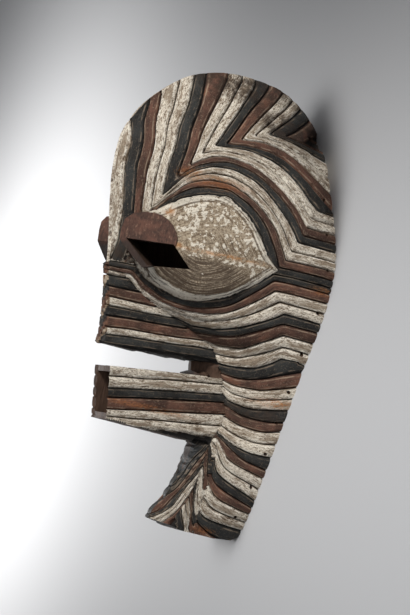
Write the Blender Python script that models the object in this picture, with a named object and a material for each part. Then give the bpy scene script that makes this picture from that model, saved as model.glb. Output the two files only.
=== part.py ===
"""Kifwebe face mask: one hollow piece of carved wood, lying face up on its back rim.

The mask is drawn from the side. A point of the side drawing has a height up the face (y)
and a height above the back rim (z), and half_x() gives how far the wood reaches out
sideways (x) there. The other half is its mirror image. All the drawing is in millimetres.
"""
import bpy
import numpy as np
from mathutils import Vector
from mathutils.geometry import delaunay_2d_cdt

# Overall sizes, in millimetres
MM = 0.001
MASK_LENGTH = 554.0
CHIN_DROP = -5.0
CENTRE_Y = CHIN_DROP + MASK_LENGTH / 2.0
DOME_REACH = 240.0
RIM_WALL = 9.0
DEEP_WALL_EXTRA = 11.0
EYE_HOLLOW = 12.0
RELIEF = 2.8
RIM_FADE = 14.0
RIM_TURN = 60.0
FINE_STEP = 4.0
LINE_STEP = 32.0
LINE_SAG = 0.8
POINT_GAP = 1.3
SHORTEST_SIDE = 0.6
FIELD_STEP = 16.0
CAVITY_STEP = 18.0

# Side profile of the head, from the nose bridge over the crown to the rim: (y, z)
CREST = [(286, 227), (316, 231), (346, 238), (370, 242.5), (394, 246), (430, 247), (460, 239.5),
         (491, 221), (522, 190), (537, 164), (547, 130), (549, 95), (546, 62), (536, 36), (521, 14),
         (507, 0)]
NOSE_PROFILE = [(286, 228), (262, 222), (245, 218), (224, 214.5), (205, 213), (193, 214), (188, 211),
                (190, 137), (193, 97)]
LIP_PROFILE = [(180, 94), (166, 204), (104, 194), (102, 82), (101, 75)]
CHIN_PROFILE = [(88, 74), (74, 76.5), (57, 82), (44, 87), (31, 92), (20, 99), (11, 104), (2, 107),
                (0, 90), (-4, 73), (-5, 30), (-3, 8), (3, 0)]
CAVITY_PROFILE = [(12, -8), (12, 38), (20, 50), (60, 48), (100, 44), (140, 33), (165, 36), (190, 46),
                  (215, 58), (234, 88), (256, 130), (278, 160), (300, 186), (330, 208), (393, 222),
                  (436, 218), (470, 202), (498, 178), (517, 152), (526, 128), (528, 95), (525, 68),
                  (515, 46), (503, 28), (491, 12), (485, -8)]

# Half width of the back rim (y, x), and the line where the cheeks turn forward (y, z, x)
RIM = [(0, 33), (10, 41), (27, 50.5), (44, 58.5), (73, 68), (92, 75.5), (121, 85.5), (143, 92.5),
       (161, 98.5), (179, 104.5), (200, 111), (215, 116), (236, 124.5), (264, 135), (290, 141),
       (315, 142), (330, 140.5), (345, 135.5), (372, 120.5), (394, 105), (417, 88), (432, 76),
       (447, 64.5), (463, 51), (477, 36), (490, 18), (500, 7), (507, 2)]
CHEEK_TURN = [(0, 80, 33), (12, 78, 33), (49, 71, 33), (90, 65, 33), (106, 60, 33), (139, 50, 33),
              (164, 57, 33), (184, 65, 32), (200, 76, 30), (214, 84, 28), (234, 124, 23),
              (256, 171, 18), (278, 195, 14), (300, 212, 13), (345, 232, 13)]
FACE_FRONT = [(0, 107), (11, 104), (20, 99), (31, 92), (44, 87), (57, 82), (84, 75), (102, 76),
              (120, 80), (164, 90), (180, 94), (196, 98), (214, 110), (234, 140), (256, 185),
              (278, 210), (300, 228), (345, 240)]

# Eye: base outline (z, y), the swell of the ball along the head (z, x) and the flat face cut on its front
EYE_OUTLINE = [(65, 314), (71, 319), (80, 328), (90, 342), (101, 358), (112, 369), (125, 379),
               (143, 385), (160, 383), (175, 377), (190, 366), (200, 357), (209, 351), (216, 342),
               (219, 330), (218, 316), (212, 303), (203, 290), (193, 280), (178, 271), (150, 261),
               (130, 261), (113, 267), (98, 276), (80, 295), (71, 306)]
EYE_CENTRE = (150.0, 322.0)
EYE_BALL = [(40, 129), (67, 128), (95, 122), (120, 110.5), (150, 93.5), (165, 86), (176, 80.5),
            (190, 76), (200, 72), (220, 63), (240, 54)]
EYE_RIDGE_Y = 316.0
VISOR_NORMAL = (0.806, -0.09, 0.585)
VISOR_OFFSET = 138.9
VISOR_PROUD = 0.8
VISOR_FACE = [(232, 312), (233, 325), (232, 336), (225, 344.5), (214, 348.5), (205, 349.3),
              (198, 348.3), (191, 344.5), (185, 339.4), (180, 332), (177, 325), (177, 317),
              (185, 300), (195, 287.5), (203, 284.5), (215, 295), (229, 308.7)]
EYE_SLOT = [(226, 314.5), (179, 317.5), (159, 293), (199, 288)]

# Small things at the back rim: tie holes (z, y) and a broken notch in the left side near the crown (y, z)
TIE_HOLES = [(13, 415), (13, 370), (9, 328), (8, 277), (8, 227), (7, 182), (7, 144), (8, 106),
             (10, 64), (15, 26)]
TIE_HOLE_RADIUS = 2.0
RIM_NOTCH = [(494.5, 26), (491.8, 0), (491.5, -4), (501, -4), (500.5, 0)]

# Edges of the painted strips. Each family is a set of numbered edges read at a few stations.
FAN_AT_Y = [315, 350, 400, 450, 500, 545]
FAN = {1: [226, 231.5, 239, 240, 231, 214], 2: [213, 221, 228, 229.3, 219, 200],
       3: [207, 214.4, 218.2, 218.2, 212, 195], 5: [192, 197, 199.5, 196, 182.3, 170],
       6: [183, 187, 188.5, 184, 170.3, 158], 7: [179, 181, 180.8, 173.5, 154, 131],
       9: [179, 180, 173, 154, 125, 94.5], 10: [177, 176, 166, 144.5, 113.5, 76],
       11: [175, 172, 160, 135, 96.5, 53.5], 13: [170, 165, 147, 117, 64, 12],
       14: [160, 155, 137, 105, 40, -15], 15: [150, 145, 127, 92, 5, -50]}
BROW_AT_Z = [210, 200, 190, 180, 170, 155, 140, 120, 100, 80, 60, 40, 20, 0]
BROW = {1: [346, 354, 365, 375, 380, 384.5, 386, 376, 356.6, 326, 290, 250, 210, 170],
        2: [347, 357, 371, 382, 388.5, 392.5, 393, 385, 370, 344, 304, 264, 224, 184],
        3: [348, 360, 376, 390, 396, 400.5, 400, 393, 380, 360, 326, 285, 245, 205],
        5: [349, 366, 387, 401, 410, 417, 418, 413.5, 403.5, 386, 365, 338, 305, 270],
        6: [350, 370, 392, 406.6, 415, 422, 425, 421.6, 413.5, 400, 380, 355, 325, 290],
        7: [352, 375, 398, 411, 421.6, 429, 431, 428.5, 421, 409, 391.6, 370, 342, 310],
        9: [358, 385, 408, 425, 436, 442, 444, 445.4, 443, 436.6, 424, 407, 395, 380],
        10: [362, 390, 413, 430, 440, 446, 448, 451.6, 451.6, 448.5, 441, 430, 418, 405],
        11: [370, 400, 420, 438, 448, 454, 456.5, 459, 461, 459.7, 455, 447, 437, 428],
        13: [380, 415, 440, 460, 468, 470, 472, 473, 474, 474, 473.5, 473, 471.5, 468],
        14: [390, 425, 450, 468, 474, 476, 477, 478, 479, 479, 479, 480, 480, 480],
        17: [393, 428, 453, 471, 477, 479, 480, 481, 482, 482, 482, 483, 483, 483]}
TEMPLE = {1: (309, 309), 2: (318, 317.5), 3: (329, 327), 5: (353, 352), 6: (363, 361), 7: (374, 371),
          9: (398, 398), 40: (401, 401)}
SMILE_AT_Z = [200, 180, 150, 130, 115, 100, 80, 65, 50, 35, 20, 0]
SMILE = {1: [288, 273, 262, 262.5, 267.5, 275, 296, 313, 332, 351, 370, 395],
         2: [282, 267, 255.5, 254, 257, 263.7, 284, 303, 323, 343, 363, 390],
         3: [277, 262, 251.5, 249, 249, 254, 270, 285, 303, 322, 341, 365],
         5: [267, 252, 243, 239, 234.5, 234.4, 240.6, 250, 261, 277, 295, 320],
         6: [262, 248, 238, 232, 228, 228, 231, 239, 249, 261, 277, 300],
         7: [257, 244, 232, 227, 224, 222, 219, 219, 230, 242, 258, 280],
         9: [250, 238, 226, 220, 216, 211, 201, 198.5, 199, 207, 222, 245],
         10: [246, 234, 222, 216, 211, 205, 194, 188, 186, 190, 198, 207],
         11: [243, 231, 219, 213, 207, 201, 190, 182, 177, 177, 181.5, 189],
         13: [240, 228, 216, 210, 203, 198, 187, 173, 157.5, 154, 156.5, 161],
         14: [238, 226, 214, 208, 200, 194, 182, 166, 151, 143.5, 142.5, 146],
         15: [236, 224, 212, 206, 197, 190, 174, 156, 139, 132, 130.5, 135],
         17: [234, 222, 210, 204, 190, 180, 150, 130, 114.5, 106, 102, 102]}
JAW = {1: (309, 309), 2: (302, 302), 3: (290.5, 290.5), 5: (265.5, 268), 6: (255, 256), 7: (241, 243.5),
       9: (215, 218), 40: (212, 215)}
NOSE = {0: (286, 290), 1: (272, 276), 2: (259, 262), 3: (246, 250), 4: (235.5, 242), 5: (224, 233),
        6: (210.5, 221), 7: (202, 213), 8: (191, 201)}
MOUTH = {11: (169, 190), 13: (141.5, 164.5), 14: (130.5, 155.5), 15: (115.5, 140.5), 17: (98, 113)}
CHIN = {17: [(80, 140), (46, 112.5), (35, 106), (17, 102), (0, 102)],
        18: [(80, 136), (49, 110), (35, 97.5), (20, 90.5), (0, 87)],
        19: [(80, 133), (60, 120), (53, 108), (47, 96), (42.5, 90), (30, 84), (0, 77)],
        21: [(80, 130), (60, 108), (56.5, 95), (54, 80), (49, 71), (35, 62.5), (0, 48)],
        22: [(80, 126), (62, 104), (59.5, 92), (57.5, 75), (51, 61), (35, 51), (0, 39)],
        23: [(80, 122), (64, 100), (62, 88), (60, 69), (52.5, 52.5), (37.5, 40), (0, 31.5)],
        25: [(80, 110), (70, 80), (67.5, 62.5), (64, 40), (56, 22.5), (45, 15), (22, 12.5), (0, 10.5)],
        26: [(80, 95), (74, 70), (70, 49), (66, 30), (57.5, 12.5), (47.5, 4), (30, -2), (0, -6)],
        27: [(84, 70), (76, 45), (69.7, 29), (63, 12), (56.6, -2), (50, -14), (0, -30)],
        29: [(90, 58), (80, 28), (76.4, 16.5), (66.2, -4.5), (60, -15), (0, -40)],
        30: [(95, 45), (86, 24), (79.7, 8.4), (78.5, -4.5), (77, -20), (0, -60)]}
FLANK = {1: [(60, 110), (70, 80), (80, 50), (90, 33), (110, 12)],
         2: [(60, 100), (66, 85), (77, 50), (90, 25), (98, 14), (110, 3)],
         3: [(60, 90), (64, 80), (75, 50), (84.7, 25), (100, 8), (110, 0)],
         5: [(60, 75), (70, 49), (79.3, 25), (90, 8), (98, -3), (110, -15)],
         6: [(60, 55), (70, 28), (76, 15), (84, 0), (110, -30)]}
CHIN_RIDGE = [(-6, 90), (8, 84), (20, 79), (32, 73.5), (49, 70), (62, 67.5), (81, 64), (100, 62),
              (110, 61)]

UPPER, LOWER, NOSE_SIDE, MOUTH_SIDE, CHIN_FLANK, PLAIN = range(6)
STRIP_KINDS = (UPPER, LOWER, NOSE_SIDE, MOUTH_SIDE, CHIN_FLANK)


def ramp(t):
    """Smooth step from 0 to 1."""
    t = np.clip(t, 0.0, 1.0)
    return t * t * (3.0 - 2.0 * t)


def smooth_curve(points, per_span=16, closed=False):
    """Points along a rounded curve through the given ones."""
    pts = np.asarray(points, float)
    count = len(pts)
    t = np.linspace(0.0, 1.0, per_span, endpoint=False)[:, None]
    out = []
    for i in range(count if closed else count - 1):
        ids = [i - 1, i, i + 1, i + 2]
        ids = [k % count for k in ids] if closed else [min(max(k, 0), count - 1) for k in ids]
        a, b, c, d = pts[ids]
        bend = (2 * a - 5 * b + 4 * c - d) * t**2 + (3 * b - a - 3 * c + d) * t**3
        out.append(b + 0.5 * ((c - a) * t + bend))
    if not closed:
        out.append(pts[-1:])
    return np.vstack(out)


def through(x, xs, ys):
    """Smooth value at x of the curve through (xs, ys), without overshoot."""
    xs, ys = np.asarray(xs, float), np.asarray(ys, float)
    if xs[0] > xs[-1]:
        xs, ys = xs[::-1], ys[::-1]
    step = np.diff(xs)
    slope = np.diff(ys) / step
    bend = np.concatenate([slope[:1], np.zeros(len(xs) - 2), slope[-1:]])
    same = slope[:-1] * slope[1:] > 0
    total = np.where(same, slope[:-1] + slope[1:], 1.0)
    bend[1:-1] = np.where(same, 2 * slope[:-1] * slope[1:] / total, 0.0)
    x = np.clip(x, xs[0], xs[-1])
    i = np.clip(np.searchsorted(xs, x, side="right") - 1, 0, len(xs) - 2)
    t = (x - xs[i]) / step[i]
    return ((1 + 2 * t) * (1 - t)**2 * ys[i] + t * (1 - t)**2 * step[i] * bend[i]
            + t * t * (3 - 2 * t) * ys[i + 1] + t * t * (t - 1) * step[i] * bend[i + 1])


CREST_LINE = smooth_curve(CREST)
RIM_Y, RIM_X = np.array(RIM, float).T
TURN_Y, TURN_Z, TURN_X = np.array(CHEEK_TURN, float).T
FRONT_Y, FRONT_Z = np.array(FACE_FRONT, float).T
BALL_Z, BALL_X = np.array(EYE_BALL, float).T
EYE_LINE = smooth_curve(EYE_OUTLINE, closed=True) - np.array(EYE_CENTRE)
EYE_ANGLE = np.arctan2(EYE_LINE[:, 1], EYE_LINE[:, 0])
EYE_RADIUS = np.hypot(EYE_LINE[:, 0], EYE_LINE[:, 1])


def crest_distance(y, z):
    """Distance from the crest line, rounded where the line turns."""
    power = 7.0
    ends = CREST_LINE[1:] - CREST_LINE[:-1]
    middles = (CREST_LINE[1:] + CREST_LINE[:-1]) / 2.0
    lengths = np.hypot(ends[:, 0], ends[:, 1])
    along = np.linspace(-60.0, 60.0, 24001)
    unit = np.sum((1.0 + along**2)**(-power / 2.0)) * (along[1] - along[0])
    flat_y, flat_z = np.ravel(y), np.ravel(z)
    out = np.empty(len(flat_y))
    for k in range(0, len(flat_y), 20000):
        part = slice(k, k + 20000)
        gap = (flat_y[part, None] - middles[:, 0])**2 + (flat_z[part, None] - middles[:, 1])**2 + 1.0
        out[part] = (unit / (gap**(-power / 2.0) * lengths).sum(1))**(1.0 / (power - 1.0))
    return np.maximum(out.reshape(np.shape(y)) - 1.0, 0.0)


def dome_x(y, z):
    """The dome: a gable-like swell that starts at a narrow crest."""
    away = crest_distance(y, z)
    crest = np.interp(y, [300, 345, 440, 500, 549], [12, 12, 9, 4, 2])
    widest = np.interp(y, [300, 345, 400], [143, 146, 150])
    share = np.clip(away / DOME_REACH, 0, 1)
    return crest * (1 - np.exp(-(away + 2) / 4.0)) + (widest - crest) * (1 - (1 - share)**2)


def head_x(y, z):
    """The dome, drawn in towards the back rim."""
    at_rim = np.minimum(y, RIM_Y[-1])
    excess = np.maximum(dome_x(at_rim, np.zeros_like(at_rim)) - through(at_rim, RIM_Y, RIM_X), 0)
    return dome_x(y, z) - excess * (1 - np.clip(z / RIM_TURN, 0, 1))**1.5


def cheek_x(y, z):
    """The lower face: from the rim to the line where it turns forward, then to the middle."""
    turn_z, turn_x = through(y, TURN_Y, TURN_Z), through(y, TURN_Y, TURN_X)
    front_z = through(y, FRONT_Y, FRONT_Z)
    side = turn_x + (through(y, RIM_Y, RIM_X) - turn_x) * (1 - np.clip(z / turn_z, 0, 1)**1.4)
    past = np.clip((z - turn_z) / np.maximum(front_z - turn_z, 1), 0, 1)
    return np.where(z <= turn_z, side, 5 + (turn_x - 5) * (1 - past**1.2))


def body_x(y, z):
    blend = ramp((y - 262) / 80)
    return blend * head_x(y, z) + (1 - blend) * cheek_x(y, z)


def nose_front(y):
    return np.interp(y, [188, 205, 224, 245, 262, 286, 312], [214, 213, 214.5, 218, 222, 228, 231])


def nose_x(y, z):
    front = np.interp(y, [190, 224, 245, 262, 284, 312], [14, 13, 10, 7, 5, 5])
    return front + 0.13 * np.clip(nose_front(y) - z, 0, 300)


def nose_floor(z):
    return np.interp(z, [79, 97, 137, 213, 219], [196, 193, 190, 187, 187])


def mouth_top(z):
    return np.interp(z, [60, 94, 205], [184, 180, 166])


def mouth_low(z):
    return np.interp(z, [60, 90, 192], [101, 103, 105])


def mouth_x(y, z):
    return 27 + 0.04 * np.clip(195 - z, 0, 300)


def eye_share(y, z):
    """0 at the centre of the eye, 1 on its outline."""
    dz, dy = z - EYE_CENTRE[0], y - EYE_CENTRE[1]
    order = np.argsort(EYE_ANGLE)
    edge = np.interp(np.arctan2(dy, dz), EYE_ANGLE[order], EYE_RADIUS[order], period=2 * np.pi)
    return np.hypot(dz, dy) / edge


def eye_ball_x(y, z):
    """The swelling eye before its front is cut flat."""
    share = eye_share(y, z)
    body = body_x(y, z)
    ball = through(z, BALL_Z, BALL_X) - 6 * ((y - EYE_CENTRE[1]) / 60)**2
    ball = ball - 0.22 * np.clip(EYE_RIDGE_Y - 2 - y, 0, 40) - 0.08 * np.clip(y - EYE_RIDGE_Y - 4, 0, 60)
    power = 4 + 8 * ramp((z - 180) / 40)
    return body + np.maximum(ball - body, 6) * np.sqrt(np.clip(1 - share**power, 0, 1))


def visor_x(y, z):
    nx, ny, nz = VISOR_NORMAL
    return (VISOR_OFFSET - ny * y - nz * z) / nx


def half_x(y, z):
    """How far the smooth surface reaches out sideways at a point of the side drawing."""
    body = body_x(y, z)
    eye = np.minimum(eye_ball_x(y, z), np.maximum(visor_x(y, z), body))
    x = np.where(eye_share(y, z) < 1, eye, body)
    on_nose = np.clip((y - nose_floor(z)) / 1.5, 0, 1) * (y < 345)
    x = x + np.maximum(nose_x(y, z) - x, 0) * on_nose
    on_mouth = np.clip(np.minimum((mouth_top(z) - y) / 1.5, (y - mouth_low(z)) / 2.0), 0, 1)
    on_mouth = np.where(z > 80, mouth_gate(y, z), on_mouth)
    return x + np.maximum(mouth_x(y, z) - x, 0) * on_mouth


def mouth_gate(y, z):
    """In front of the face the mouth is full width up to its edges."""
    return ((y < mouth_top(z) + 3) & (y > mouth_low(z) - 3)).astype(float)


def cavity_x(y, z):
    """Half width of the hollow behind the face."""
    z = np.maximum(z, 0)
    wall = RIM_WALL + DEEP_WALL_EXTRA * ramp(z / 80)
    hollow = EYE_HOLLOW * np.clip(1 - eye_share(y, z)**2, 0, 1)
    return np.maximum(body_x(y, z) - wall + hollow, 1.5)


def ladder(cross, values, numbers):
    """Strip number at a point: the edges passed so far plus the share of the way to the next."""
    count = float(numbers[0]) + np.minimum((cross - values[0]) / (values[1] - values[0]), 0)
    for low, high, a, b in zip(values[:-1], values[1:], numbers[:-1], numbers[1:]):
        gap = np.where(np.abs(high - low) < 1e-6, 1e-6, high - low)
        count = count + (b - a) * np.clip((cross - low) / gap, 0, 1)
    return count


def fan_strips(y, z):
    return ladder(-z, [-through(y, FAN_AT_Y, row) for row in FAN.values()], list(FAN))


def brow_strips(y, z):
    return ladder(y, [through(z, BROW_AT_Z, row) for row in BROW.values()], list(BROW))


def smile_strips(y, z):
    return ladder(-y, [-through(z, SMILE_AT_Z, row) for row in SMILE.values()], list(SMILE))


def straight_strips(rows, y, z, z_a, z_b, sign):
    """Strips with straight edges, read at z_a and z_b."""
    share = (z - z_a) / (z_b - z_a)
    return ladder(sign * y, [sign * (a + (b - a) * share) for a, b in rows.values()], list(rows))


def curved_strips(rows, y, z):
    """Strips that run down the chin along curves."""
    values = []
    for row in rows.values():
        line = smooth_curve(row, 12)
        line = line[np.argsort(line[:, 0])]
        values.append(-np.interp(z, line[:, 0], line[:, 1]))
    return ladder(-y, values, list(rows))


def upper_strips(y, z):
    """Forehead fan, arcs over the eye and level strips of the temple, whichever comes first."""
    fan = fan_strips(y, z)
    over = np.minimum(np.minimum(fan, brow_strips(y, z)), straight_strips(TEMPLE, y, z, 0, 55, 1))
    return np.where((z > 212) & (y < 353), fan, over)


def lower_strips(y, z):
    """Arcs under the eye, level strips of the jaw and the strips of the chin."""
    smile = np.minimum(smile_strips(y, z), straight_strips(JAW, y, z, 0, 45, -1))
    return np.where(smile < 17, smile, np.maximum(curved_strips(CHIN, y, z), 17))


def strip_number(region, y, z):
    if region == UPPER:
        return upper_strips(y, z)
    if region == LOWER:
        return lower_strips(y, z)
    if region == NOSE_SIDE:
        return straight_strips(NOSE, y, z, 215, 100, -1)
    if region == MOUTH_SIDE:
        return straight_strips(MOUTH, y, z, 195, 57, -1)
    return curved_strips(FLANK, y, z)


def region_of(y, z):
    """Which family of strips a point of the side drawing belongs to."""
    body = body_x(y, z)
    region = np.where((y > 309) | ((y > 290) & (z > 200)), UPPER, LOWER)
    region = np.where((y < 290) & (y > nose_floor(z)) & (nose_x(y, z) > body), NOSE_SIDE, region)
    in_mouth = (y < mouth_top(z)) & (y > mouth_low(z)) & (mouth_x(y, z) > body)
    region = np.where(in_mouth, MOUTH_SIDE, region)
    ridge_y, ridge_z = np.array(CHIN_RIDGE, float).T
    region = np.where((y < 102) & (z > np.interp(y, ridge_y, ridge_z)), CHIN_FLANK, region)
    region = np.where(eye_share(y, z) < 1, PLAIN, region)
    behind_gap = (z > through(y, TURN_Y, TURN_Z)) & (y < nose_floor(z)) & (y > mouth_top(z))
    return np.where(behind_gap, PLAIN, region)


def resample(points, step):
    """Points along a closed outline, close to one step apart, that keep its corners."""
    pts = np.asarray(points, float)
    before, after = pts - np.roll(pts, 1, 0), np.roll(pts, -1, 0) - pts
    turn = np.arctan2(before[:, 0] * after[:, 1] - before[:, 1] * after[:, 0], (before * after).sum(1))
    corners = np.flatnonzero(np.abs(turn) > 0.35)
    out = []
    for a, b in zip(corners, np.roll(corners, -1)):
        ids = np.arange(a, b + 1 if b > a else b + len(pts) + 1) % len(pts)
        run = pts[ids]
        length = np.concatenate([[0], np.cumsum(np.hypot(*np.diff(run, axis=0).T))])
        count = max(1, int(round(length[-1] / step)))
        at = np.linspace(0, length[-1], count, endpoint=False)
        out.append(np.stack([np.interp(at, length, run[:, 0]), np.interp(at, length, run[:, 1])], 1))
    return np.vstack(out)


def side_mesh(outline, step):
    """Triangles that fill a closed outline of the side drawing."""
    edge = resample(outline, step)
    low, high = edge.min(0), edge.max(0)
    rows = np.arange(low[0], high[0], step * 0.866)
    grid = []
    for i, y in enumerate(rows):
        z = np.arange(low[1] + (i % 2) * step / 2, high[1], step)
        grid.append(np.stack([np.full(len(z), y), z], 1))
    grid = np.vstack(grid)
    gap = np.full(len(grid), 1e9)
    inside = np.zeros(len(grid), bool)
    for a, b in zip(edge, np.roll(edge, -1, 0)):
        along = b - a
        t = np.clip(((grid - a) @ along) / (along @ along), 0, 1)
        gap = np.minimum(gap, np.hypot(*(grid - a - t[:, None] * along).T))
        crosses = (a[0] > grid[:, 0]) != (b[0] > grid[:, 0])
        rise = along[0] if abs(along[0]) > 1e-12 else 1e-12
        inside ^= crosses & (grid[:, 1] < a[1] + (grid[:, 0] - a[0]) * along[1] / rise)
    grid = grid[inside & (gap > 0.55 * step)]
    points = np.vstack([edge, grid])
    ring = [(i, (i + 1) % len(edge)) for i in range(len(edge))]
    verts, _, faces, *_ = delaunay_2d_cdt([Vector(p) for p in points], ring, [], 1, 1e-6)
    return np.array([v[:] for v in verts], float), np.array([f for f in faces if len(f) == 3], int)


def boundary_edges(tris):
    """Edges that have a triangle on one side only, in the triangles' own direction."""
    pairs = np.vstack([tris[:, [0, 1]], tris[:, [1, 2]], tris[:, [2, 0]]])
    key = np.sort(pairs, 1)
    _, first, count = np.unique(key, axis=0, return_index=True, return_counts=True)
    return pairs[first[count == 1]]


def triangle_sides(tris):
    """Each side of the triangles once, lower corner first."""
    pairs = np.vstack([tris[:, [0, 1]], tris[:, [1, 2]], tris[:, [2, 0]]])
    return np.unique(np.sort(pairs, 1), axis=0)


def cut(drawing, value, level, use):
    """Cut the triangles in use along the line where value equals level, and keep the line.

    Corners that are already near the line move onto it, if no other line holds them.
    """
    verts, tris, lines, fixed = drawing
    gap = value - level
    pairs = triangle_sides(tris[use])
    a, b = gap[pairs[:, 0]], gap[pairs[:, 1]]
    crossing = a * b < 0
    if not crossing.any():
        return drawing, use
    pairs, a, b = pairs[crossing], a[crossing], b[crossing]
    t = a / (a - b)
    on_line = np.zeros(len(verts), bool)
    for end, near in ((0, t < 0.25), (1, t > 0.75)):
        ids = pairs[near, end]
        movable = ~fixed[ids]
        ids, share = ids[movable], t[near][movable][:, None]
        first, second = verts[pairs[near][movable, 0]], verts[pairs[near][movable, 1]]
        verts[ids] = first * (1 - share) + second * share
        on_line[ids] = True
    still = ~(on_line[pairs[:, 0]] | on_line[pairs[:, 1]])
    pairs, t = pairs[still], t[still][:, None]
    fresh = verts[pairs[:, 0]] * (1 - t) + verts[pairs[:, 1]] * t
    split = {tuple(pair): len(verts) + i for i, pair in enumerate(pairs.tolist())}
    verts = np.vstack([verts, fresh])
    added = np.ones(len(fresh), bool)
    on_line = np.concatenate([on_line, added])
    fixed = np.concatenate([fixed, ~added]) | on_line
    out, flags = [], []
    touched = np.isin(tris, np.unique(pairs)).sum(1) >= 2
    for tri, flag in zip(tris[touched].tolist(), use[touched].tolist()):
        sides = ((tri[0], tri[1]), (tri[1], tri[2]), (tri[2], tri[0]))
        pieces = split_triangle(tri, [split.get((min(side), max(side))) for side in sides])
        out.extend(pieces)
        flags.extend([flag] * len(pieces))
    tris = np.vstack([tris[~touched], np.array(out, int).reshape(-1, 3)])
    use = np.concatenate([use[~touched], np.array(flags, bool)])
    kept = set()
    for pair in lines:
        middle = split.get(pair)
        kept.update([pair] if middle is None else [(pair[0], middle), (pair[1], middle)])
    sides = triangle_sides(tris[use])
    drawn = on_line[sides].all(1)
    kept.update((min(side), max(side)) for side in sides[drawn].tolist())
    return (verts, tris, kept, fixed), use


def split_triangle(tri, mids):
    """Divide a triangle at the given points on its sides."""
    count = sum(m is not None for m in mids)
    if count == 0:
        return [tri]
    a, b, c = tri
    ab, bc, ca = mids
    if count == 1:
        while ab is None:
            a, b, c, ab, bc, ca = b, c, a, bc, ca, ab
        return [[a, ab, c], [ab, b, c]]
    if count == 2:
        while ca is not None:
            a, b, c, ab, bc, ca = b, c, a, bc, ca, ab
        return [[ab, b, bc], [a, ab, bc], [a, bc, c]]
    return [[a, ab, ca], [ab, b, bc], [bc, c, ca], [ab, bc, ca]]


def crease_fields():
    """Lines of the side drawing along which the surface or the strips turn."""
    ridge_y, ridge_z = np.array(CHIN_RIDGE, float).T
    return [
        (lambda y, z: eye_share(y, z), 1.0, lambda y, z: y > 240),
        (lambda y, z: eye_share(y, z), 0.93, lambda y, z: y > 240),
        (lambda y, z: visor_x(y, z) - eye_ball_x(y, z), 0.0,
         lambda y, z: (eye_share(y, z) < 0.96) & (z > 130)),
        (lambda y, z: nose_x(y, z) - body_x(y, z), 0.0, lambda y, z: (y < 345) & (y > nose_floor(z) - 4)),
        (lambda y, z: mouth_x(y, z) - body_x(y, z), 0.0, lambda y, z: (y < 186) & (y > 98)),
        (lambda y, z: mouth_top(z) - y, 0.0, lambda y, z: (z < 100) & (z > 50)),
        (lambda y, z: mouth_top(z) - y, 1.5, lambda y, z: (z < 100) & (z > 50)),
        (lambda y, z: y - mouth_low(z), 0.0, lambda y, z: (z < 95) & (z > 50)),
        (lambda y, z: y - mouth_low(z), 2.0, lambda y, z: (z < 95) & (z > 50)),
        (lambda y, z: y - nose_floor(z), 0.0, lambda y, z: (z < 105) & (z > 70)),
        (lambda y, z: y - nose_floor(z), 1.5, lambda y, z: (z < 105) & (z > 70)),
        (lambda y, z: z - np.interp(y, ridge_y, ridge_z), 0.0, lambda y, z: y < 104),
        (lambda y, z: fan_strips(y, z) - brow_strips(y, z), 0.0,
         lambda y, z: (y > 345) & (eye_share(y, z) > 1)),
        (lambda y, z: brow_strips(y, z) - straight_strips(TEMPLE, y, z, 0, 55, 1), 0.0,
         lambda y, z: (y > 309) & (z < 75)),
        (lambda y, z: smile_strips(y, z) - straight_strips(JAW, y, z, 0, 45, -1), 0.0,
         lambda y, z: (y < 312) & (y > 205) & (z < 75)),
        (lambda y, z: y, 309.0, lambda y, z: z < 72),
    ]


def carve_lines(verts, tris, levels_per_strip):
    """Cut the side mesh along its creases and along the strips' edges and ridges."""
    fixed = np.zeros(len(verts), bool)
    border = boundary_edges(tris)
    fixed[border.ravel()] = True
    drawing = (verts, tris, {(min(side), max(side)) for side in border.tolist()}, fixed)
    for field, level, where in crease_fields():
        verts, tris = drawing[:2]
        middle = verts[tris].mean(1)
        drawing, _ = cut(drawing, field(*verts.T), level, where(*middle.T))
    for kind in STRIP_KINDS:
        verts, tris = drawing[:2]
        use = region_of(*verts[tris].mean(1).T) == kind
        top = strip_number(kind, *verts[np.unique(tris[use])].T).max()
        for step in range(int(top * levels_per_strip) + 2):
            level = step / levels_per_strip
            drawing, use = cut(drawing, strip_number(kind, *drawing[0].T), level, use)
    return drawing[0], drawing[1], drawing[2]


def line_runs(lines, verts):
    """The drawn lines as runs of points between the places where lines meet or end."""
    near = {}
    for a, b in lines:
        near.setdefault(a, []).append(b)
        near.setdefault(b, []).append(a)
    knots = {v for v, others in near.items() if len(others) != 2}
    left = set(lines)
    runs = []
    for start in sorted(knots) + sorted(near):
        for step in sorted(near[start]):
            run = [start]
            here, there = start, step
            while (min(here, there), max(here, there)) in left:
                left.discard((min(here, there), max(here, there)))
                run.append(there)
                if there in knots:
                    break
                other = [v for v in near[there] if v != here]
                if not other:
                    break
                here, there = there, other[0]
            if len(run) > 1:
                runs.append(run)
    return runs


def simplify(run, points):
    """Fewer points of a run, within LINE_SAG of it and at most LINE_STEP apart."""
    keep = {0, len(run) - 1}
    stack = [(0, len(run) - 1)]
    while stack:
        low, high = stack.pop()
        if high - low < 2:
            continue
        part = points[run[low:high + 1]]
        along = part[-1] - part[0]
        length = np.linalg.norm(along)
        t = np.clip((part - part[0]) @ along / max(length**2, 1e-9), 0, 1)
        sag = np.linalg.norm(part - part[0] - t[:, None] * along, axis=1)
        worst = int(sag.argmax())
        if sag[worst] <= LINE_SAG:
            if length <= LINE_STEP:
                continue
            worst = int(np.abs(t - 0.5).argmin())
        worst = min(max(worst, 1), high - low - 1) + low
        keep.add(worst)
        stack += [(low, worst), (worst, high)]
    return [run[i] for i in sorted(keep)]


def weld(points, gap):
    """For each point, the first point that lies within the gap of it."""
    target = np.arange(len(points))
    for i in range(len(points)):
        if target[i] != i:
            continue
        close = np.flatnonzero(np.hypot(*(points[i + 1:] - points[i]).T) < gap) + i + 1
        free = close[target[close] == close]
        target[free] = i
    return target


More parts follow.
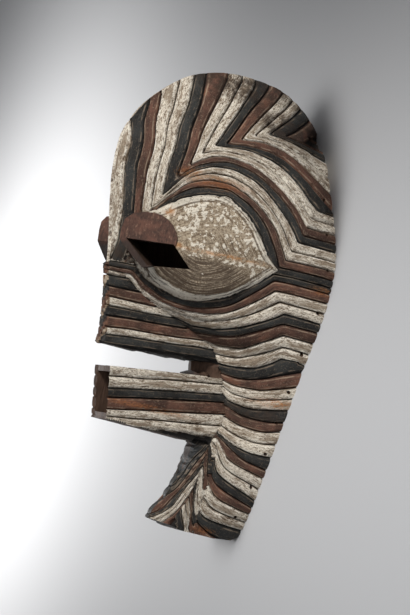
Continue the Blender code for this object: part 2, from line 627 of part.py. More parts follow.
def thin_drawing(verts, lines, step):
    """The same lines with few points, filled with long triangles."""
    points = np.column_stack([half_x(*verts.T), verts])
    runs = [simplify(run, points) for run in line_runs(lines, verts)]
    ends = {v for run in runs for v in (run[0], run[-1])}
    used = sorted(ends) + sorted({v for run in runs for v in run} - ends)
    number = dict(zip(used, weld(verts[used], POINT_GAP).tolist()))
    steps = [(a, b) for run in runs for a, b in zip(run[:-1], run[1:])]
    sides = {(number[a], number[b]) for a, b in steps if number[a] != number[b]}
    dots = verts[sorted({v for pair in lines for v in pair})]
    low, high = verts.min(0), verts.max(0)
    field = []
    for i, y in enumerate(np.arange(low[0], high[0], step * 0.866)):
        for z in np.arange(low[1] + (i % 2) * step / 2, high[1], step):
            if np.hypot(*(dots - (y, z)).T).min() > 0.45 * step:
                field.append((y, z))
    flat = [Vector(p) for p in verts[used].tolist() + field]
    out, _, faces, *_ = delaunay_2d_cdt(flat, sorted(sides), [], 1, 1e-4)
    out = np.array([v[:] for v in out], float)
    same = weld(out, SHORTEST_SIDE)
    tris = same[np.array([f for f in faces if len(f) == 3], int)]
    tris = tris[(tris[:, 0] != tris[:, 1]) & (tris[:, 1] != tris[:, 2]) & (tris[:, 2] != tris[:, 0])]
    used, index = np.unique(tris, return_inverse=True)
    return out[used], index.reshape(-1, 3)


def relief_height(number, z):
    """Each strip is a low ridge between two grooves, shallower at the rim."""
    ridge = 1 - 2 * np.abs(number - np.floor(number) - 0.5)
    return RELIEF * (0.5 + (ridge - 0.5) * (0.25 + 0.75 * ramp(z / RIM_FADE)))


def carved_points(verts, tris):
    """Points of the carved left half in space."""
    region = region_of(*verts[tris].mean(1).T)
    y, z = verts.T
    x = half_x(y, z)
    lift = np.full(len(verts), 1e9)
    for kind in STRIP_KINDS:
        ids = np.unique(tris[region == kind])
        lift[ids] = np.minimum(lift[ids], relief_height(strip_number(kind, y[ids], z[ids]), z[ids]))
    plain = np.unique(tris[region == PLAIN])
    lift[plain] = np.where(lift[plain] < 1e8, np.minimum(lift[plain], 0), RELIEF * 0.5)
    size = 1.0
    slope_y = (half_x(y + size, z) - half_x(y - size, z)) / (2 * size)
    slope_z = (half_x(y, z + size) - half_x(y, z - size)) / (2 * size)
    slope_y, slope_z = np.clip(slope_y, -1.5, 1.5), np.clip(slope_z, -1.5, 1.5)
    normal = np.stack([np.ones(len(x)), -slope_y, -slope_z], 1)
    normal /= np.linalg.norm(normal, axis=1, keepdims=True)
    normal[z < 3, 2] = 0.0
    points = np.stack([x, y, z], 1) + normal * (lift - RELIEF)[:, None]
    points[:, 0] = np.maximum(points[:, 0], 0.4)
    return points


def closed_object(name, half, tris):
    """Join a left half and its mirror image along their outline."""
    count = len(half)
    other = half * np.array([-1.0, 1.0, 1.0])
    verts = np.vstack([half, other]) - np.array([0.0, CENTRE_Y, 0.0])
    rim = boundary_edges(tris)
    walls = np.vstack([np.stack([rim[:, 1], rim[:, 0], rim[:, 0] + count], 1),
                       np.stack([rim[:, 1], rim[:, 0] + count, rim[:, 1] + count], 1)])
    faces = np.vstack([tris, tris[:, ::-1] + count, walls])
    mesh = bpy.data.meshes.new(name)
    mesh.from_pydata((verts * MM).tolist(), [], faces.tolist())
    mesh.validate()
    obj = bpy.data.objects.new(name, mesh)
    bpy.context.scene.collection.objects.link(obj)
    return obj


def outward(obj):
    """Turn the faces to point out if the mesh encloses a negative volume."""
    mesh = obj.data
    mesh.calc_loop_triangles()
    total = 0.0
    for tri in mesh.loop_triangles:
        a, b, c = (mesh.vertices[i].co for i in tri.vertices)
        total += a.dot(b.cross(c))
    if total < 0:
        mesh.flip_normals()


def outer_outline():
    head = [tuple(p) for p in CREST_LINE[::-1]]
    return head[:-1] + NOSE_PROFILE + LIP_PROFILE + CHIN_PROFILE


def make_outer():
    verts, tris = side_mesh(outer_outline(), FINE_STEP)
    verts, tris, lines = carve_lines(verts, tris, 2)
    verts, tris = thin_drawing(verts, lines, FIELD_STEP)
    return closed_object("mask", carved_points(verts, tris), tris)


def make_cavity():
    verts, tris = side_mesh(CAVITY_PROFILE, CAVITY_STEP)
    half = np.stack([cavity_x(verts[:, 0], verts[:, 1]), verts[:, 0], verts[:, 1]], 1)
    return closed_object("cavity_cutter", half, tris)


def blocks(name, pairs):
    """Closed blocks, each between two faces with the same number of corners."""
    verts, faces = [], []
    for near, far in pairs:
        sides, first = len(near), len(verts)
        verts.extend((np.array(p, float) - (0.0, CENTRE_Y, 0.0)) * MM for p in list(near) + list(far))
        faces.append([first + i for i in range(sides)])
        faces.append([first + sides + i for i in reversed(range(sides))])
        for i in range(sides):
            j = (i + 1) % sides
            faces.append([first + i, first + sides + i, first + sides + j, first + j])
    mesh = bpy.data.meshes.new(name)
    mesh.from_pydata([v.tolist() for v in verts], [], faces)
    obj = bpy.data.objects.new(name, mesh)
    bpy.context.scene.collection.objects.link(obj)
    return obj


def make_visors():
    """Blunt flat-faced ends of the eyes, with a gap between them and the crest."""
    normal = np.array(VISOR_NORMAL)
    pairs = []
    for side in (1, -1):
        flip = np.array([side, 1, 1])
        face = [np.array([float(visor_x(y, z)), y, z]) for z, y in VISOR_FACE]
        near = [(p + VISOR_PROUD * normal) * flip for p in face]
        far = [(p - 40 * normal) * flip for p in face]
        pairs.append((near[::side], far[::side]))
    return blocks("visors", pairs)


def make_mouth_tunnel():
    half = 22.0
    front = [(-half, 111, 232), (half, 111, 232), (half, 157, 232), (-half, 157, 232)]
    back = [(-half, 113, 22), (half, 113, 22), (half, 174, 22), (-half, 174, 22)]
    return blocks("mouth_cutter", [(front, back)])


def make_eye_slots():
    normal = np.array(VISOR_NORMAL)
    pairs = []
    for side in (1, -1):
        flip = np.array([side, 1, 1])
        face = [np.array([float(visor_x(y, z)), y, z]) for z, y in EYE_SLOT]
        near = [(p + 14 * normal) * flip for p in face]
        far = [(p - 46 * normal) * flip for p in face]
        pairs.append((near[::side], far[::side]))
    return blocks("eye_cutter", pairs)


def make_tie_holes():
    """Short six-sided rods that cross the wall just in front of the rim."""
    pairs = []
    for side in (1, -1):
        flip = np.array([side, 1, 1])
        for z, y in TIE_HOLES:
            ends = half_x(np.array([y - 4.0, y, y + 4.0]), np.full(3, float(z)))
            out = np.array([8.0, ends[0] - ends[2], 0.0])
            out /= np.linalg.norm(out)
            along = np.array([-out[1], out[0], 0.0])
            turn = np.arange(6) * np.pi / 3
            ring = TIE_HOLE_RADIUS * (np.cos(turn)[:, None] * along + np.sin(turn)[:, None] * (0, 0, 1))
            near = (np.array([ends[1], y, z]) + ring + 8 * out) * flip
            far = (np.array([ends[1], y, z]) + ring - 26 * out) * flip
            pairs.append((near[::side], far[::side]))
    return blocks("tie_hole_cutter", pairs)


def make_rim_notch():
    near = [(100, y, z) for y, z in RIM_NOTCH]
    far = [(7, y, z) for y, z in RIM_NOTCH]
    return blocks("rim_notch_cutter", [(near, far)])


def wood():
    mat = bpy.data.materials.new("painted_wood")
    mat.use_nodes = True
    shader = mat.node_tree.nodes["Principled BSDF"]
    shader.inputs["Base Color"].default_value = (0.33, 0.24, 0.18, 1.0)
    shader.inputs["Roughness"].default_value = 0.75
    shader.inputs["Metallic"].default_value = 0.0
    return mat


def join(target, part, name, operation):
    """Add a part to the carving, or cut it away."""
    outward(part)
    part.hide_render = True
    part.display_type = "WIRE"
    step = target.modifiers.new(name, "BOOLEAN")
    step.operation = operation
    step.solver = "EXACT"
    step.object = part


def main():
    for obj in list(bpy.data.objects):
        bpy.data.objects.remove(obj)
    mask = make_outer()
    outward(mask)
    mask.data.materials.append(wood())
    join(mask, make_visors(), "visors", "UNION")
    cutters = [make_cavity(), make_mouth_tunnel(), make_eye_slots(), make_tie_holes(), make_rim_notch()]
    for cutter in cutters:
        join(mask, cutter, cutter.name, "DIFFERENCE")


main()
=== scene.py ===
"""Kifwebe face mask, lying face up: carved wood with worn white, black and red paint.

The mask is drawn from the side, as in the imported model. A point of the side drawing has a height up
the face (y) and a height above the back rim (z), and half_x() gives how far the wood reaches out
sideways (x). The strips are cut into a fine mesh of that drawing. Lengths are in millimetres until
the mesh is made.
"""
import bpy
import numpy as np
from mathutils import Matrix, Vector
from mathutils.geometry import delaunay_2d_cdt


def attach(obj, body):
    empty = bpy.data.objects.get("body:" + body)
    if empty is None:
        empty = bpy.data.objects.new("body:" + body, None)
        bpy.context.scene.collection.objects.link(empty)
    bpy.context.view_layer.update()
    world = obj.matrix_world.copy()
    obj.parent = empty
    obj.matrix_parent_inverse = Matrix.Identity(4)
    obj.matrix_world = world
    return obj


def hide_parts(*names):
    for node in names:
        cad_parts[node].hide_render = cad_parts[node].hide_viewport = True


MM = 0.001
MASK_LENGTH = 554.0
CHIN_DROP = -5.0
CENTRE_Y = CHIN_DROP + MASK_LENGTH / 2.0
DOME_REACH = 240.0
RIM_WALL = 9.0
DEEP_WALL_EXTRA = 11.0
EYE_HOLLOW = 12.0
RIM_TURN = 60.0

# Fineness and depth of the carving
SIDE_STEP = 2.8
CAVITY_STEP = 5.0
FRONT_COLUMNS = 10
GROOVE_SHARE = 0.14
GROOVE_DEPTH = 2.8
STRIP_BULGE = 1.9
RIM_FADE = 3.0
HAND_WOBBLE = 0.8
CUT_BACK = 0.9
LEAST_HALF_WIDTH = 0.4

# The nose's front: how far it bulges, its strips' relief and how far they run down to the middle
FRONT_BULGE = 2.5
FRONT_RELIEF = 1.1
FRONT_FALL = 24.0

# How far the cutters reach past the surface and into the wood
VISOR_ROOT = 40.0
SLOT_PAST = 14.0
SLOT_DEPTH = 46.0
HOLE_PAST = 8.0
HOLE_DEPTH = 26.0
MOUTH_HOLE_HALF = 22.0
NOTCH_DEPTH_X = (100, 7)

# Paint: one material each
WHITE, BLACK, RED, EYE, VISOR, WOOD, RIM_WOOD, FRONT = range(8)

# Side profile of the head, from the nose bridge over the crown to the rim: (y, z)
CREST = [(286, 227), (316, 231), (346, 238), (370, 242.5), (394, 246), (430, 247), (460, 239.5),
         (491, 221), (522, 190), (537, 164), (547, 130), (549, 95), (546, 62), (536, 36), (521, 14),
         (507, 0)]
NOSE_PROFILE = [(286, 228), (262, 222), (245, 218), (224, 214.5), (205, 213), (193, 214), (188, 211),
                (190, 137), (193, 97)]
LIP_PROFILE = [(180, 94), (166, 204), (104, 194), (102, 82), (101, 75)]
CHIN_PROFILE = [(88, 74), (74, 76.5), (57, 82), (44, 87), (31, 92), (20, 99), (11, 104), (2, 107),
                (0, 90), (-4, 73), (-5, 30), (-3, 8), (3, 0)]
CAVITY_PROFILE = [(12, -8), (12, 38), (20, 50), (60, 48), (100, 44), (140, 33), (165, 36), (190, 46),
                  (215, 58), (234, 88), (256, 130), (278, 160), (300, 186), (330, 208), (393, 222),
                  (436, 218), (470, 202), (498, 178), (517, 152), (526, 128), (528, 95), (525, 68),
                  (515, 46), (503, 28), (491, 12), (485, -8)]

# Half width of the back rim (y, x), and the line where the cheeks turn forward (y, z, x)
RIM = [(0, 33), (10, 41), (27, 50.5), (44, 58.5), (73, 68), (92, 75.5), (121, 85.5), (143, 92.5),
       (161, 98.5), (179, 104.5), (200, 111), (215, 116), (236, 124.5), (264, 135), (290, 141),
       (315, 142), (330, 140.5), (345, 135.5), (372, 120.5), (394, 105), (417, 88), (432, 76),
       (447, 64.5), (463, 51), (477, 36), (490, 18), (500, 7), (507, 2)]
CHEEK_TURN = [(0, 80, 33), (12, 78, 33), (49, 71, 33), (90, 65, 33), (106, 60, 33), (139, 50, 33),
              (164, 57, 33), (184, 65, 32), (200, 76, 30), (214, 84, 28), (234, 124, 23),
              (256, 171, 18), (278, 195, 14), (300, 212, 13), (345, 232, 13)]
FACE_FRONT = [(0, 107), (11, 104), (20, 99), (31, 92), (44, 87), (57, 82), (84, 75), (102, 76),
              (120, 80), (164, 90), (180, 94), (196, 98), (214, 110), (234, 140), (256, 185),
              (278, 210), (300, 228), (345, 240)]

# Eye: base outline (z, y), the swell of the ball along the head (z, x) and the flat face on its front
EYE_OUTLINE = [(65, 314), (71, 319), (80, 328), (90, 342), (101, 358), (112, 369), (125, 379),
               (143, 385), (160, 383), (175, 377), (190, 366), (200, 357), (209, 351), (216, 342),
               (219, 330), (218, 316), (212, 303), (203, 290), (193, 280), (178, 271), (150, 261),
               (130, 261), (113, 267), (98, 276), (80, 295), (71, 306)]
EYE_CENTRE = (150.0, 322.0)
EYE_BALL = [(40, 129), (67, 128), (95, 122), (120, 110.5), (150, 93.5), (165, 86), (176, 80.5),
            (190, 76), (200, 72), (220, 63), (240, 54)]
EYE_RIDGE_Y = 316.0
VISOR_NORMAL = (0.806, -0.09, 0.585)
VISOR_OFFSET = 138.9
VISOR_PROUD = 0.8
VISOR_FACE = [(232, 312), (233, 325), (232, 336), (225, 344.5), (214, 348.5), (205, 349.3),
              (198, 348.3), (191, 344.5), (185, 339.4), (180, 332), (177, 325), (177, 317),
              (185, 300), (195, 287.5), (203, 284.5), (215, 295), (229, 308.7)]
EYE_SLOT = [(226, 314.5), (179, 317.5), (159, 293), (199, 288)]

# At the back rim: tie holes (z, y) and a broken notch in the left side near the crown (y, z)
TIE_HOLES = [(13, 415), (13, 370), (9, 328), (8, 277), (8, 227), (7, 182), (7, 144), (8, 106),
             (10, 64), (15, 26)]
TIE_HOLE_RADIUS = 2.0
RIM_NOTCH = [(494.5, 26), (491.8, 0), (491.5, -4), (501, -4), (500.5, 0)]

# Edges of the painted strips. Each family is a set of numbered edges read at a few stations.
FAN_AT_Y = [315, 350, 400, 450, 500, 545]
FAN = {1: [226, 231.5, 239, 240, 231, 214], 2: [213, 221, 228, 229.3, 219, 200],
       3: [207, 214.4, 218.2, 218.2, 212, 195], 5: [192, 197, 199.5, 196, 182.3, 170],
       6: [183, 187, 188.5, 184, 170.3, 158], 7: [179, 181, 180.8, 173.5, 154, 131],
       9: [179, 180, 173, 154, 125, 94.5], 10: [177, 176, 166, 144.5, 113.5, 76],
       11: [175, 172, 160, 135, 96.5, 53.5], 13: [170, 165, 147, 117, 64, 12],
       14: [160, 155, 137, 105, 40, -15], 15: [150, 145, 127, 92, 5, -50]}
BROW_AT_Z = [210, 200, 190, 180, 170, 155, 140, 120, 100, 80, 60, 40, 20, 0]
BROW = {1: [346, 354, 365, 375, 380, 384.5, 386, 376, 356.6, 326, 290, 250, 210, 170],
        2: [347, 357, 371, 382, 388.5, 392.5, 393, 385, 370, 344, 304, 264, 224, 184],
        3: [348, 360, 376, 390, 396, 400.5, 400, 393, 380, 360, 326, 285, 245, 205],
        5: [349, 366, 387, 401, 410, 417, 418, 413.5, 403.5, 386, 365, 338, 305, 270],
        6: [350, 370, 392, 406.6, 415, 422, 425, 421.6, 413.5, 400, 380, 355, 325, 290],
        7: [352, 375, 398, 411, 421.6, 429, 431, 428.5, 421, 409, 391.6, 370, 342, 310],
        9: [358, 385, 408, 425, 436, 442, 444, 445.4, 443, 436.6, 424, 407, 395, 380],
        10: [362, 390, 413, 430, 440, 446, 448, 451.6, 451.6, 448.5, 441, 430, 418, 405],
        11: [370, 400, 420, 438, 448, 454, 456.5, 459, 461, 459.7, 455, 447, 437, 428],
        13: [380, 415, 440, 460, 468, 470, 472, 473, 474, 474, 473.5, 473, 471.5, 468],
        14: [390, 425, 450, 468, 474, 476, 477, 478, 479, 479, 479, 480, 480, 480],
        17: [393, 428, 453, 471, 477, 479, 480, 481, 482, 482, 482, 483, 483, 483]}
TEMPLE = {1: (309, 309), 2: (318, 317.5), 3: (329, 327), 5: (353, 352), 6: (363, 361), 7: (374, 371),
          9: (398, 398), 40: (401, 401)}
SMILE_AT_Z = [200, 180, 150, 130, 115, 100, 80, 65, 50, 35, 20, 0]
SMILE = {1: [288, 273, 262, 262.5, 267.5, 275, 296, 313, 332, 351, 370, 395],
         2: [282, 267, 255.5, 254, 257, 263.7, 284, 303, 323, 343, 363, 390],
         3: [277, 262, 251.5, 249, 249, 254, 270, 285, 303, 322, 341, 365],
         5: [267, 252, 243, 239, 234.5, 234.4, 240.6, 250, 261, 277, 295, 320],
         6: [262, 248, 238, 232, 228, 228, 231, 239, 249, 261, 277, 300],
         7: [257, 244, 232, 227, 224, 222, 219, 219, 230, 242, 258, 280],
         9: [250, 238, 226, 220, 216, 211, 201, 198.5, 199, 207, 222, 245],
         10: [246, 234, 222, 216, 211, 205, 194, 188, 186, 190, 198, 207],
         11: [243, 231, 219, 213, 207, 201, 190, 182, 177, 177, 181.5, 189],
         13: [240, 228, 216, 210, 203, 198, 187, 173, 157.5, 154, 156.5, 161],
         14: [238, 226, 214, 208, 200, 194, 182, 166, 151, 143.5, 142.5, 146],
         15: [236, 224, 212, 206, 197, 190, 174, 156, 139, 132, 130.5, 135],
         17: [234, 222, 210, 204, 190, 180, 150, 130, 114.5, 106, 102, 102]}
JAW = {1: (309, 309), 2: (302, 302), 3: (290.5, 290.5), 5: (265.5, 268), 6: (255, 256), 7: (241, 243.5),
       9: (215, 218), 40: (212, 215)}
NOSE = {0: (286, 290), 1: (272, 276), 2: (259, 262), 3: (246, 250), 4: (235.5, 242), 5: (224, 233),
        6: (210.5, 221), 7: (202, 213), 8: (191, 201)}
MOUTH = {11: (169, 190), 13: (141.5, 164.5), 14: (130.5, 155.5), 15: (115.5, 140.5), 17: (98, 113)}
CHIN = {17: [(80, 140), (46, 112.5), (35, 106), (17, 102), (0, 102)],
        18: [(80, 136), (49, 110), (35, 97.5), (20, 90.5), (0, 87)],
        19: [(80, 133), (60, 120), (53, 108), (47, 96), (42.5, 90), (30, 84), (0, 77)],
        21: [(80, 130), (60, 108), (56.5, 95), (54, 80), (49, 71), (35, 62.5), (0, 48)],
        22: [(80, 126), (62, 104), (59.5, 92), (57.5, 75), (51, 61), (35, 51), (0, 39)],
        23: [(80, 122), (64, 100), (62, 88), (60, 69), (52.5, 52.5), (37.5, 40), (0, 31.5)],
        25: [(80, 110), (70, 80), (67.5, 62.5), (64, 40), (56, 22.5), (45, 15), (22, 12.5), (0, 10.5)],
        26: [(80, 95), (74, 70), (70, 49), (66, 30), (57.5, 12.5), (47.5, 4), (30, -2), (0, -6)],
        27: [(84, 70), (76, 45), (69.7, 29), (63, 12), (56.6, -2), (50, -14), (0, -30)],
        29: [(90, 58), (80, 28), (76.4, 16.5), (66.2, -4.5), (60, -15), (0, -40)],
        30: [(95, 45), (86, 24), (79.7, 8.4), (78.5, -4.5), (77, -20), (0, -60)]}
FLANK = {1: [(60, 110), (70, 80), (80, 50), (90, 33), (110, 12)],
         2: [(60, 100), (66, 85), (77, 50), (90, 25), (98, 14), (110, 3)],
         3: [(60, 90), (64, 80), (75, 50), (84.7, 25), (100, 8), (110, 0)],
         5: [(60, 75), (70, 49), (79.3, 25), (90, 8), (98, -3), (110, -15)],
         6: [(60, 55), (70, 28), (76, 15), (84, 0), (110, -30)]}
CHIN_RIDGE = [(-6, 90), (8, 84), (20, 79), (32, 73.5), (49, 70), (62, 67.5), (81, 64), (100, 62),
              (110, 61)]

# Ochre wear, and dark soiling mixed with painted shade on the eye's lower half, under its front corner and
# over the crown (y, z, radius along y, radius along z)
OCHRE_SPOTS = [(398, 150, 8, 34), (404, 178, 7, 14), (302, 12, 5, 16), (128, 150, 4, 60),
               (2, 46, 4, 16), (166, 16, 6, 22), (318, 178, 4, 8), (356, 190, 6, 6),
               (316.5, 125, 2.0, 50)]
DIRT_AND_SHADE_SPOTS = [(288, 140, 22, 60), (300, 215, 16, 14), (150, 30, 10, 30), (490, 60, 20, 50),
              (530, 120, 22, 60), (500, 15, 20, 20), (540, 60, 14, 40)]

UPPER, LOWER, NOSE_SIDE, MOUTH_SIDE, CHIN_FLANK, PLAIN = range(6)
STRIP_KINDS = (UPPER, LOWER, NOSE_SIDE, MOUTH_SIDE, CHIN_FLANK)


def ramp(t):
    """Smooth step from 0 to 1."""
    t = np.clip(t, 0.0, 1.0)
    return t * t * (3.0 - 2.0 * t)


def smooth_curve(points, per_span=16, closed=False):
    """Points along a rounded curve through the given ones."""
    pts = np.asarray(points, float)
    count = len(pts)
    t = np.linspace(0.0, 1.0, per_span, endpoint=False)[:, None]
    out = []
    for i in range(count if closed else count - 1):
        ids = [i - 1, i, i + 1, i + 2]
        ids = [k % count for k in ids] if closed else [min(max(k, 0), count - 1) for k in ids]
        a, b, c, d = pts[ids]
        bend = (2 * a - 5 * b + 4 * c - d) * t**2 + (3 * b - a - 3 * c + d) * t**3
        out.append(b + 0.5 * ((c - a) * t + bend))
    if not closed:
        out.append(pts[-1:])
    return np.vstack(out)


def through(x, xs, ys):
    """Smooth value at x of the curve through (xs, ys), without overshoot."""
    xs, ys = np.asarray(xs, float), np.asarray(ys, float)
    if xs[0] > xs[-1]:
        xs, ys = xs[::-1], ys[::-1]
    step = np.diff(xs)
    slope = np.diff(ys) / step
    bend = np.concatenate([slope[:1], np.zeros(len(xs) - 2), slope[-1:]])
    same = slope[:-1] * slope[1:] > 0
    total = np.where(same, slope[:-1] + slope[1:], 1.0)
    bend[1:-1] = np.where(same, 2 * slope[:-1] * slope[1:] / total, 0.0)
    x = np.clip(x, xs[0], xs[-1])
    i = np.clip(np.searchsorted(xs, x, side="right") - 1, 0, len(xs) - 2)
    t = (x - xs[i]) / step[i]
    return ((1 + 2 * t) * (1 - t)**2 * ys[i] + t * (1 - t)**2 * step[i] * bend[i]
            + t * t * (3 - 2 * t) * ys[i + 1] + t * t * (t - 1) * step[i] * bend[i + 1])


CREST_LINE = smooth_curve(CREST)
RIM_Y, RIM_X = np.array(RIM, float).T
TURN_Y, TURN_Z, TURN_X = np.array(CHEEK_TURN, float).T
FRONT_Y, FRONT_Z = np.array(FACE_FRONT, float).T
BALL_Z, BALL_X = np.array(EYE_BALL, float).T
EYE_LINE = smooth_curve(EYE_OUTLINE, closed=True) - np.array(EYE_CENTRE)
EYE_ANGLE = np.arctan2(EYE_LINE[:, 1], EYE_LINE[:, 0])
EYE_RADIUS = np.hypot(EYE_LINE[:, 0], EYE_LINE[:, 1])


def crest_distance(y, z):
    """Distance from the crest line, rounded where the line turns."""
    power = 7.0
    ends = CREST_LINE[1:] - CREST_LINE[:-1]
    middles = (CREST_LINE[1:] + CREST_LINE[:-1]) / 2.0
    lengths = np.hypot(ends[:, 0], ends[:, 1])
    along = np.linspace(-60.0, 60.0, 24001)
    unit = np.sum((1.0 + along**2)**(-power / 2.0)) * (along[1] - along[0])
    flat_y, flat_z = np.ravel(y), np.ravel(z)
    out = np.empty(len(flat_y))
    for k in range(0, len(flat_y), 20000):
        part = slice(k, k + 20000)
        gap = (flat_y[part, None] - middles[:, 0])**2 + (flat_z[part, None] - middles[:, 1])**2 + 1.0
        out[part] = (unit / (gap**(-power / 2.0) * lengths).sum(1))**(1.0 / (power - 1.0))
    return np.maximum(out.reshape(np.shape(y)) - 1.0, 0.0)


def dome_x(y, z):
    """The dome: a gable-like swell that starts at a narrow crest."""
    away = crest_distance(y, z)
    crest = np.interp(y, [300, 345, 440, 500, 549], [12, 12, 9, 4, 2])
    widest = np.interp(y, [300, 345, 400], [143, 146, 150])
    share = np.clip(away / DOME_REACH, 0, 1)
    return crest * (1 - np.exp(-(away + 2) / 4.0)) + (widest - crest) * (1 - (1 - share)**2)


def head_x(y, z):
    """The dome, drawn in towards the back rim."""
    at_rim = np.minimum(y, RIM_Y[-1])
    excess = np.maximum(dome_x(at_rim, np.zeros_like(at_rim)) - through(at_rim, RIM_Y, RIM_X), 0)
    return dome_x(y, z) - excess * (1 - np.clip(z / RIM_TURN, 0, 1))**1.5


def cheek_x(y, z):
    """The lower face: from the rim to the line where it turns forward, then to the middle."""
    turn_z, turn_x = through(y, TURN_Y, TURN_Z), through(y, TURN_Y, TURN_X)
    front_z = through(y, FRONT_Y, FRONT_Z)
    side = turn_x + (through(y, RIM_Y, RIM_X) - turn_x) * (1 - np.clip(z / turn_z, 0, 1)**1.4)
    past = np.clip((z - turn_z) / np.maximum(front_z - turn_z, 1), 0, 1)
    return np.where(z <= turn_z, side, 5 + (turn_x - 5) * (1 - past**1.2))


def body_x(y, z):
    blend = ramp((y - 262) / 80)
    return blend * head_x(y, z) + (1 - blend) * cheek_x(y, z)


def nose_front(y):
    return np.interp(y, [188, 205, 224, 245, 262, 286, 312], [214, 213, 214.5, 218, 222, 228, 231])


def nose_x(y, z):
    front = np.interp(y, [190, 224, 245, 262, 284, 312], [14, 13, 10, 7, 5, 5])
    return front + 0.13 * np.clip(nose_front(y) - z, 0, 300)


def nose_floor(z):
    return np.interp(z, [79, 97, 137, 213, 219], [196, 193, 190, 187, 187])


def mouth_top(z):
    return np.interp(z, [60, 94, 205], [184, 180, 166])


def mouth_low(z):
    return np.interp(z, [60, 90, 192], [101, 103, 105])


def mouth_x(z):
    return 27 + 0.04 * np.clip(195 - z, 0, 300)


def eye_share(y, z):
    """0 at the centre of the eye, 1 on its outline."""
    dz, dy = z - EYE_CENTRE[0], y - EYE_CENTRE[1]
    order = np.argsort(EYE_ANGLE)
    edge = np.interp(np.arctan2(dy, dz), EYE_ANGLE[order], EYE_RADIUS[order], period=2 * np.pi)
    return np.hypot(dz, dy) / edge


def eye_ball_x(y, z):
    """The swelling eye before its front is cut flat."""
    share = eye_share(y, z)
    body = body_x(y, z)
    ball = through(z, BALL_Z, BALL_X) - 6 * ((y - EYE_CENTRE[1]) / 60)**2
    ball = ball - 0.22 * np.clip(EYE_RIDGE_Y - 2 - y, 0, 40)
    ball = ball - 0.08 * np.clip(y - EYE_RIDGE_Y - 4, 0, 60)
    power = 4 + 8 * ramp((z - 180) / 40)
    return body + np.maximum(ball - body, 6) * np.sqrt(np.clip(1 - share**power, 0, 1))


def visor_x(y, z):
    nx, ny, nz = VISOR_NORMAL
    return (VISOR_OFFSET - ny * y - nz * z) / nx


def half_x(y, z):
    """How far the smooth surface reaches out sideways at a point of the side drawing."""
    body = body_x(y, z)
    eye = np.minimum(eye_ball_x(y, z), np.maximum(visor_x(y, z), body))
    x = np.where(eye_share(y, z) < 1, eye, body)
    on_nose = np.clip((y - nose_floor(z)) / 1.5, 0, 1) * (y < 345)
    x = x + np.maximum(nose_x(y, z) - x, 0) * on_nose
    on_mouth = np.clip(np.minimum((mouth_top(z) - y) / 1.5, (y - mouth_low(z)) / 2.0), 0, 1)
    on_mouth = np.where(z > 80, mouth_gate(y, z), on_mouth)
    return x + np.maximum(mouth_x(z) - x, 0) * on_mouth


def mouth_gate(y, z):
    """In front of the face the mouth is full width up to its edges."""
    return ((y < mouth_top(z) + 3) & (y > mouth_low(z) - 3)).astype(float)


def cavity_x(y, z):
    """Half width of the hollow behind the face."""
    z = np.maximum(z, 0)
    wall = RIM_WALL + DEEP_WALL_EXTRA * ramp(z / 80)
    hollow = EYE_HOLLOW * np.clip(1 - eye_share(y, z)**2, 0, 1)
    return np.maximum(body_x(y, z) - wall + hollow, 1.5)


def ladder(cross, values, numbers):
    """Strip number at a point: the edges passed so far plus the share of the way to the next."""
    count = float(numbers[0]) + np.minimum((cross - values[0]) / (values[1] - values[0]), 0)
    for low, high, a, b in zip(values[:-1], values[1:], numbers[:-1], numbers[1:]):
        gap = np.where(np.abs(high - low) < 1e-6, 1e-6, high - low)
        count = count + (b - a) * np.clip((cross - low) / gap, 0, 1)
    return count


def fan_strips(y, z):
    return ladder(-z, [-through(y, FAN_AT_Y, row) for row in FAN.values()], list(FAN))


def brow_strips(y, z):
    return ladder(y, [through(z, BROW_AT_Z, row) for row in BROW.values()], list(BROW))


def smile_strips(y, z):
    return ladder(-y, [-through(z, SMILE_AT_Z, row) for row in SMILE.values()], list(SMILE))


def straight_strips(rows, y, z, z_a, z_b, sign):
    """Strips with straight edges, read at z_a and z_b."""
    share = (z - z_a) / (z_b - z_a)
    return ladder(sign * y, [sign * (a + (b - a) * share) for a, b in rows.values()], list(rows))


def curved_strips(rows, y, z):
    """Strips that run down the chin along curves."""
    values = []
    for row in rows.values():
        line = smooth_curve(row, 12)
        line = line[np.argsort(line[:, 0])]
        values.append(-np.interp(z, line[:, 0], line[:, 1]))
    return ladder(-y, values, list(rows))


def upper_strips(y, z):
    """Forehead fan, arcs over the eye and level strips of the temple, whichever comes first."""
    fan = fan_strips(y, z)
    over = np.minimum(np.minimum(fan, brow_strips(y, z)), straight_strips(TEMPLE, y, z, 0, 55, 1))
    return np.where((z > 212) & (y < 353), fan, over)


def lower_strips(y, z):
    """Arcs under the eye, level strips of the jaw and the strips of the chin."""
    smile = np.minimum(smile_strips(y, z), straight_strips(JAW, y, z, 0, 45, -1))
    return np.where(smile < 17, smile, np.maximum(curved_strips(CHIN, y, z), 17))


STRIP_FIELDS = {
    UPPER: upper_strips,
    LOWER: lower_strips,
    NOSE_SIDE: lambda y, z: straight_strips(NOSE, y, z, 215, 100, -1),
    MOUTH_SIDE: lambda y, z: straight_strips(MOUTH, y, z, 195, 57, -1),
    CHIN_FLANK: lambda y, z: curved_strips(FLANK, y, z),
}
FOUR_TONES = (WHITE, BLACK, RED, WHITE)
NOSE_TONES = (WHITE, BLACK, RED, WHITE, BLACK, RED, WHITE, BLACK, BLACK)
FLANK_TONES = (BLACK, RED, BLACK, WHITE, WHITE, RED, RED)


AXIS_PRIMES = (668265263, 2246822519, 3266489917)


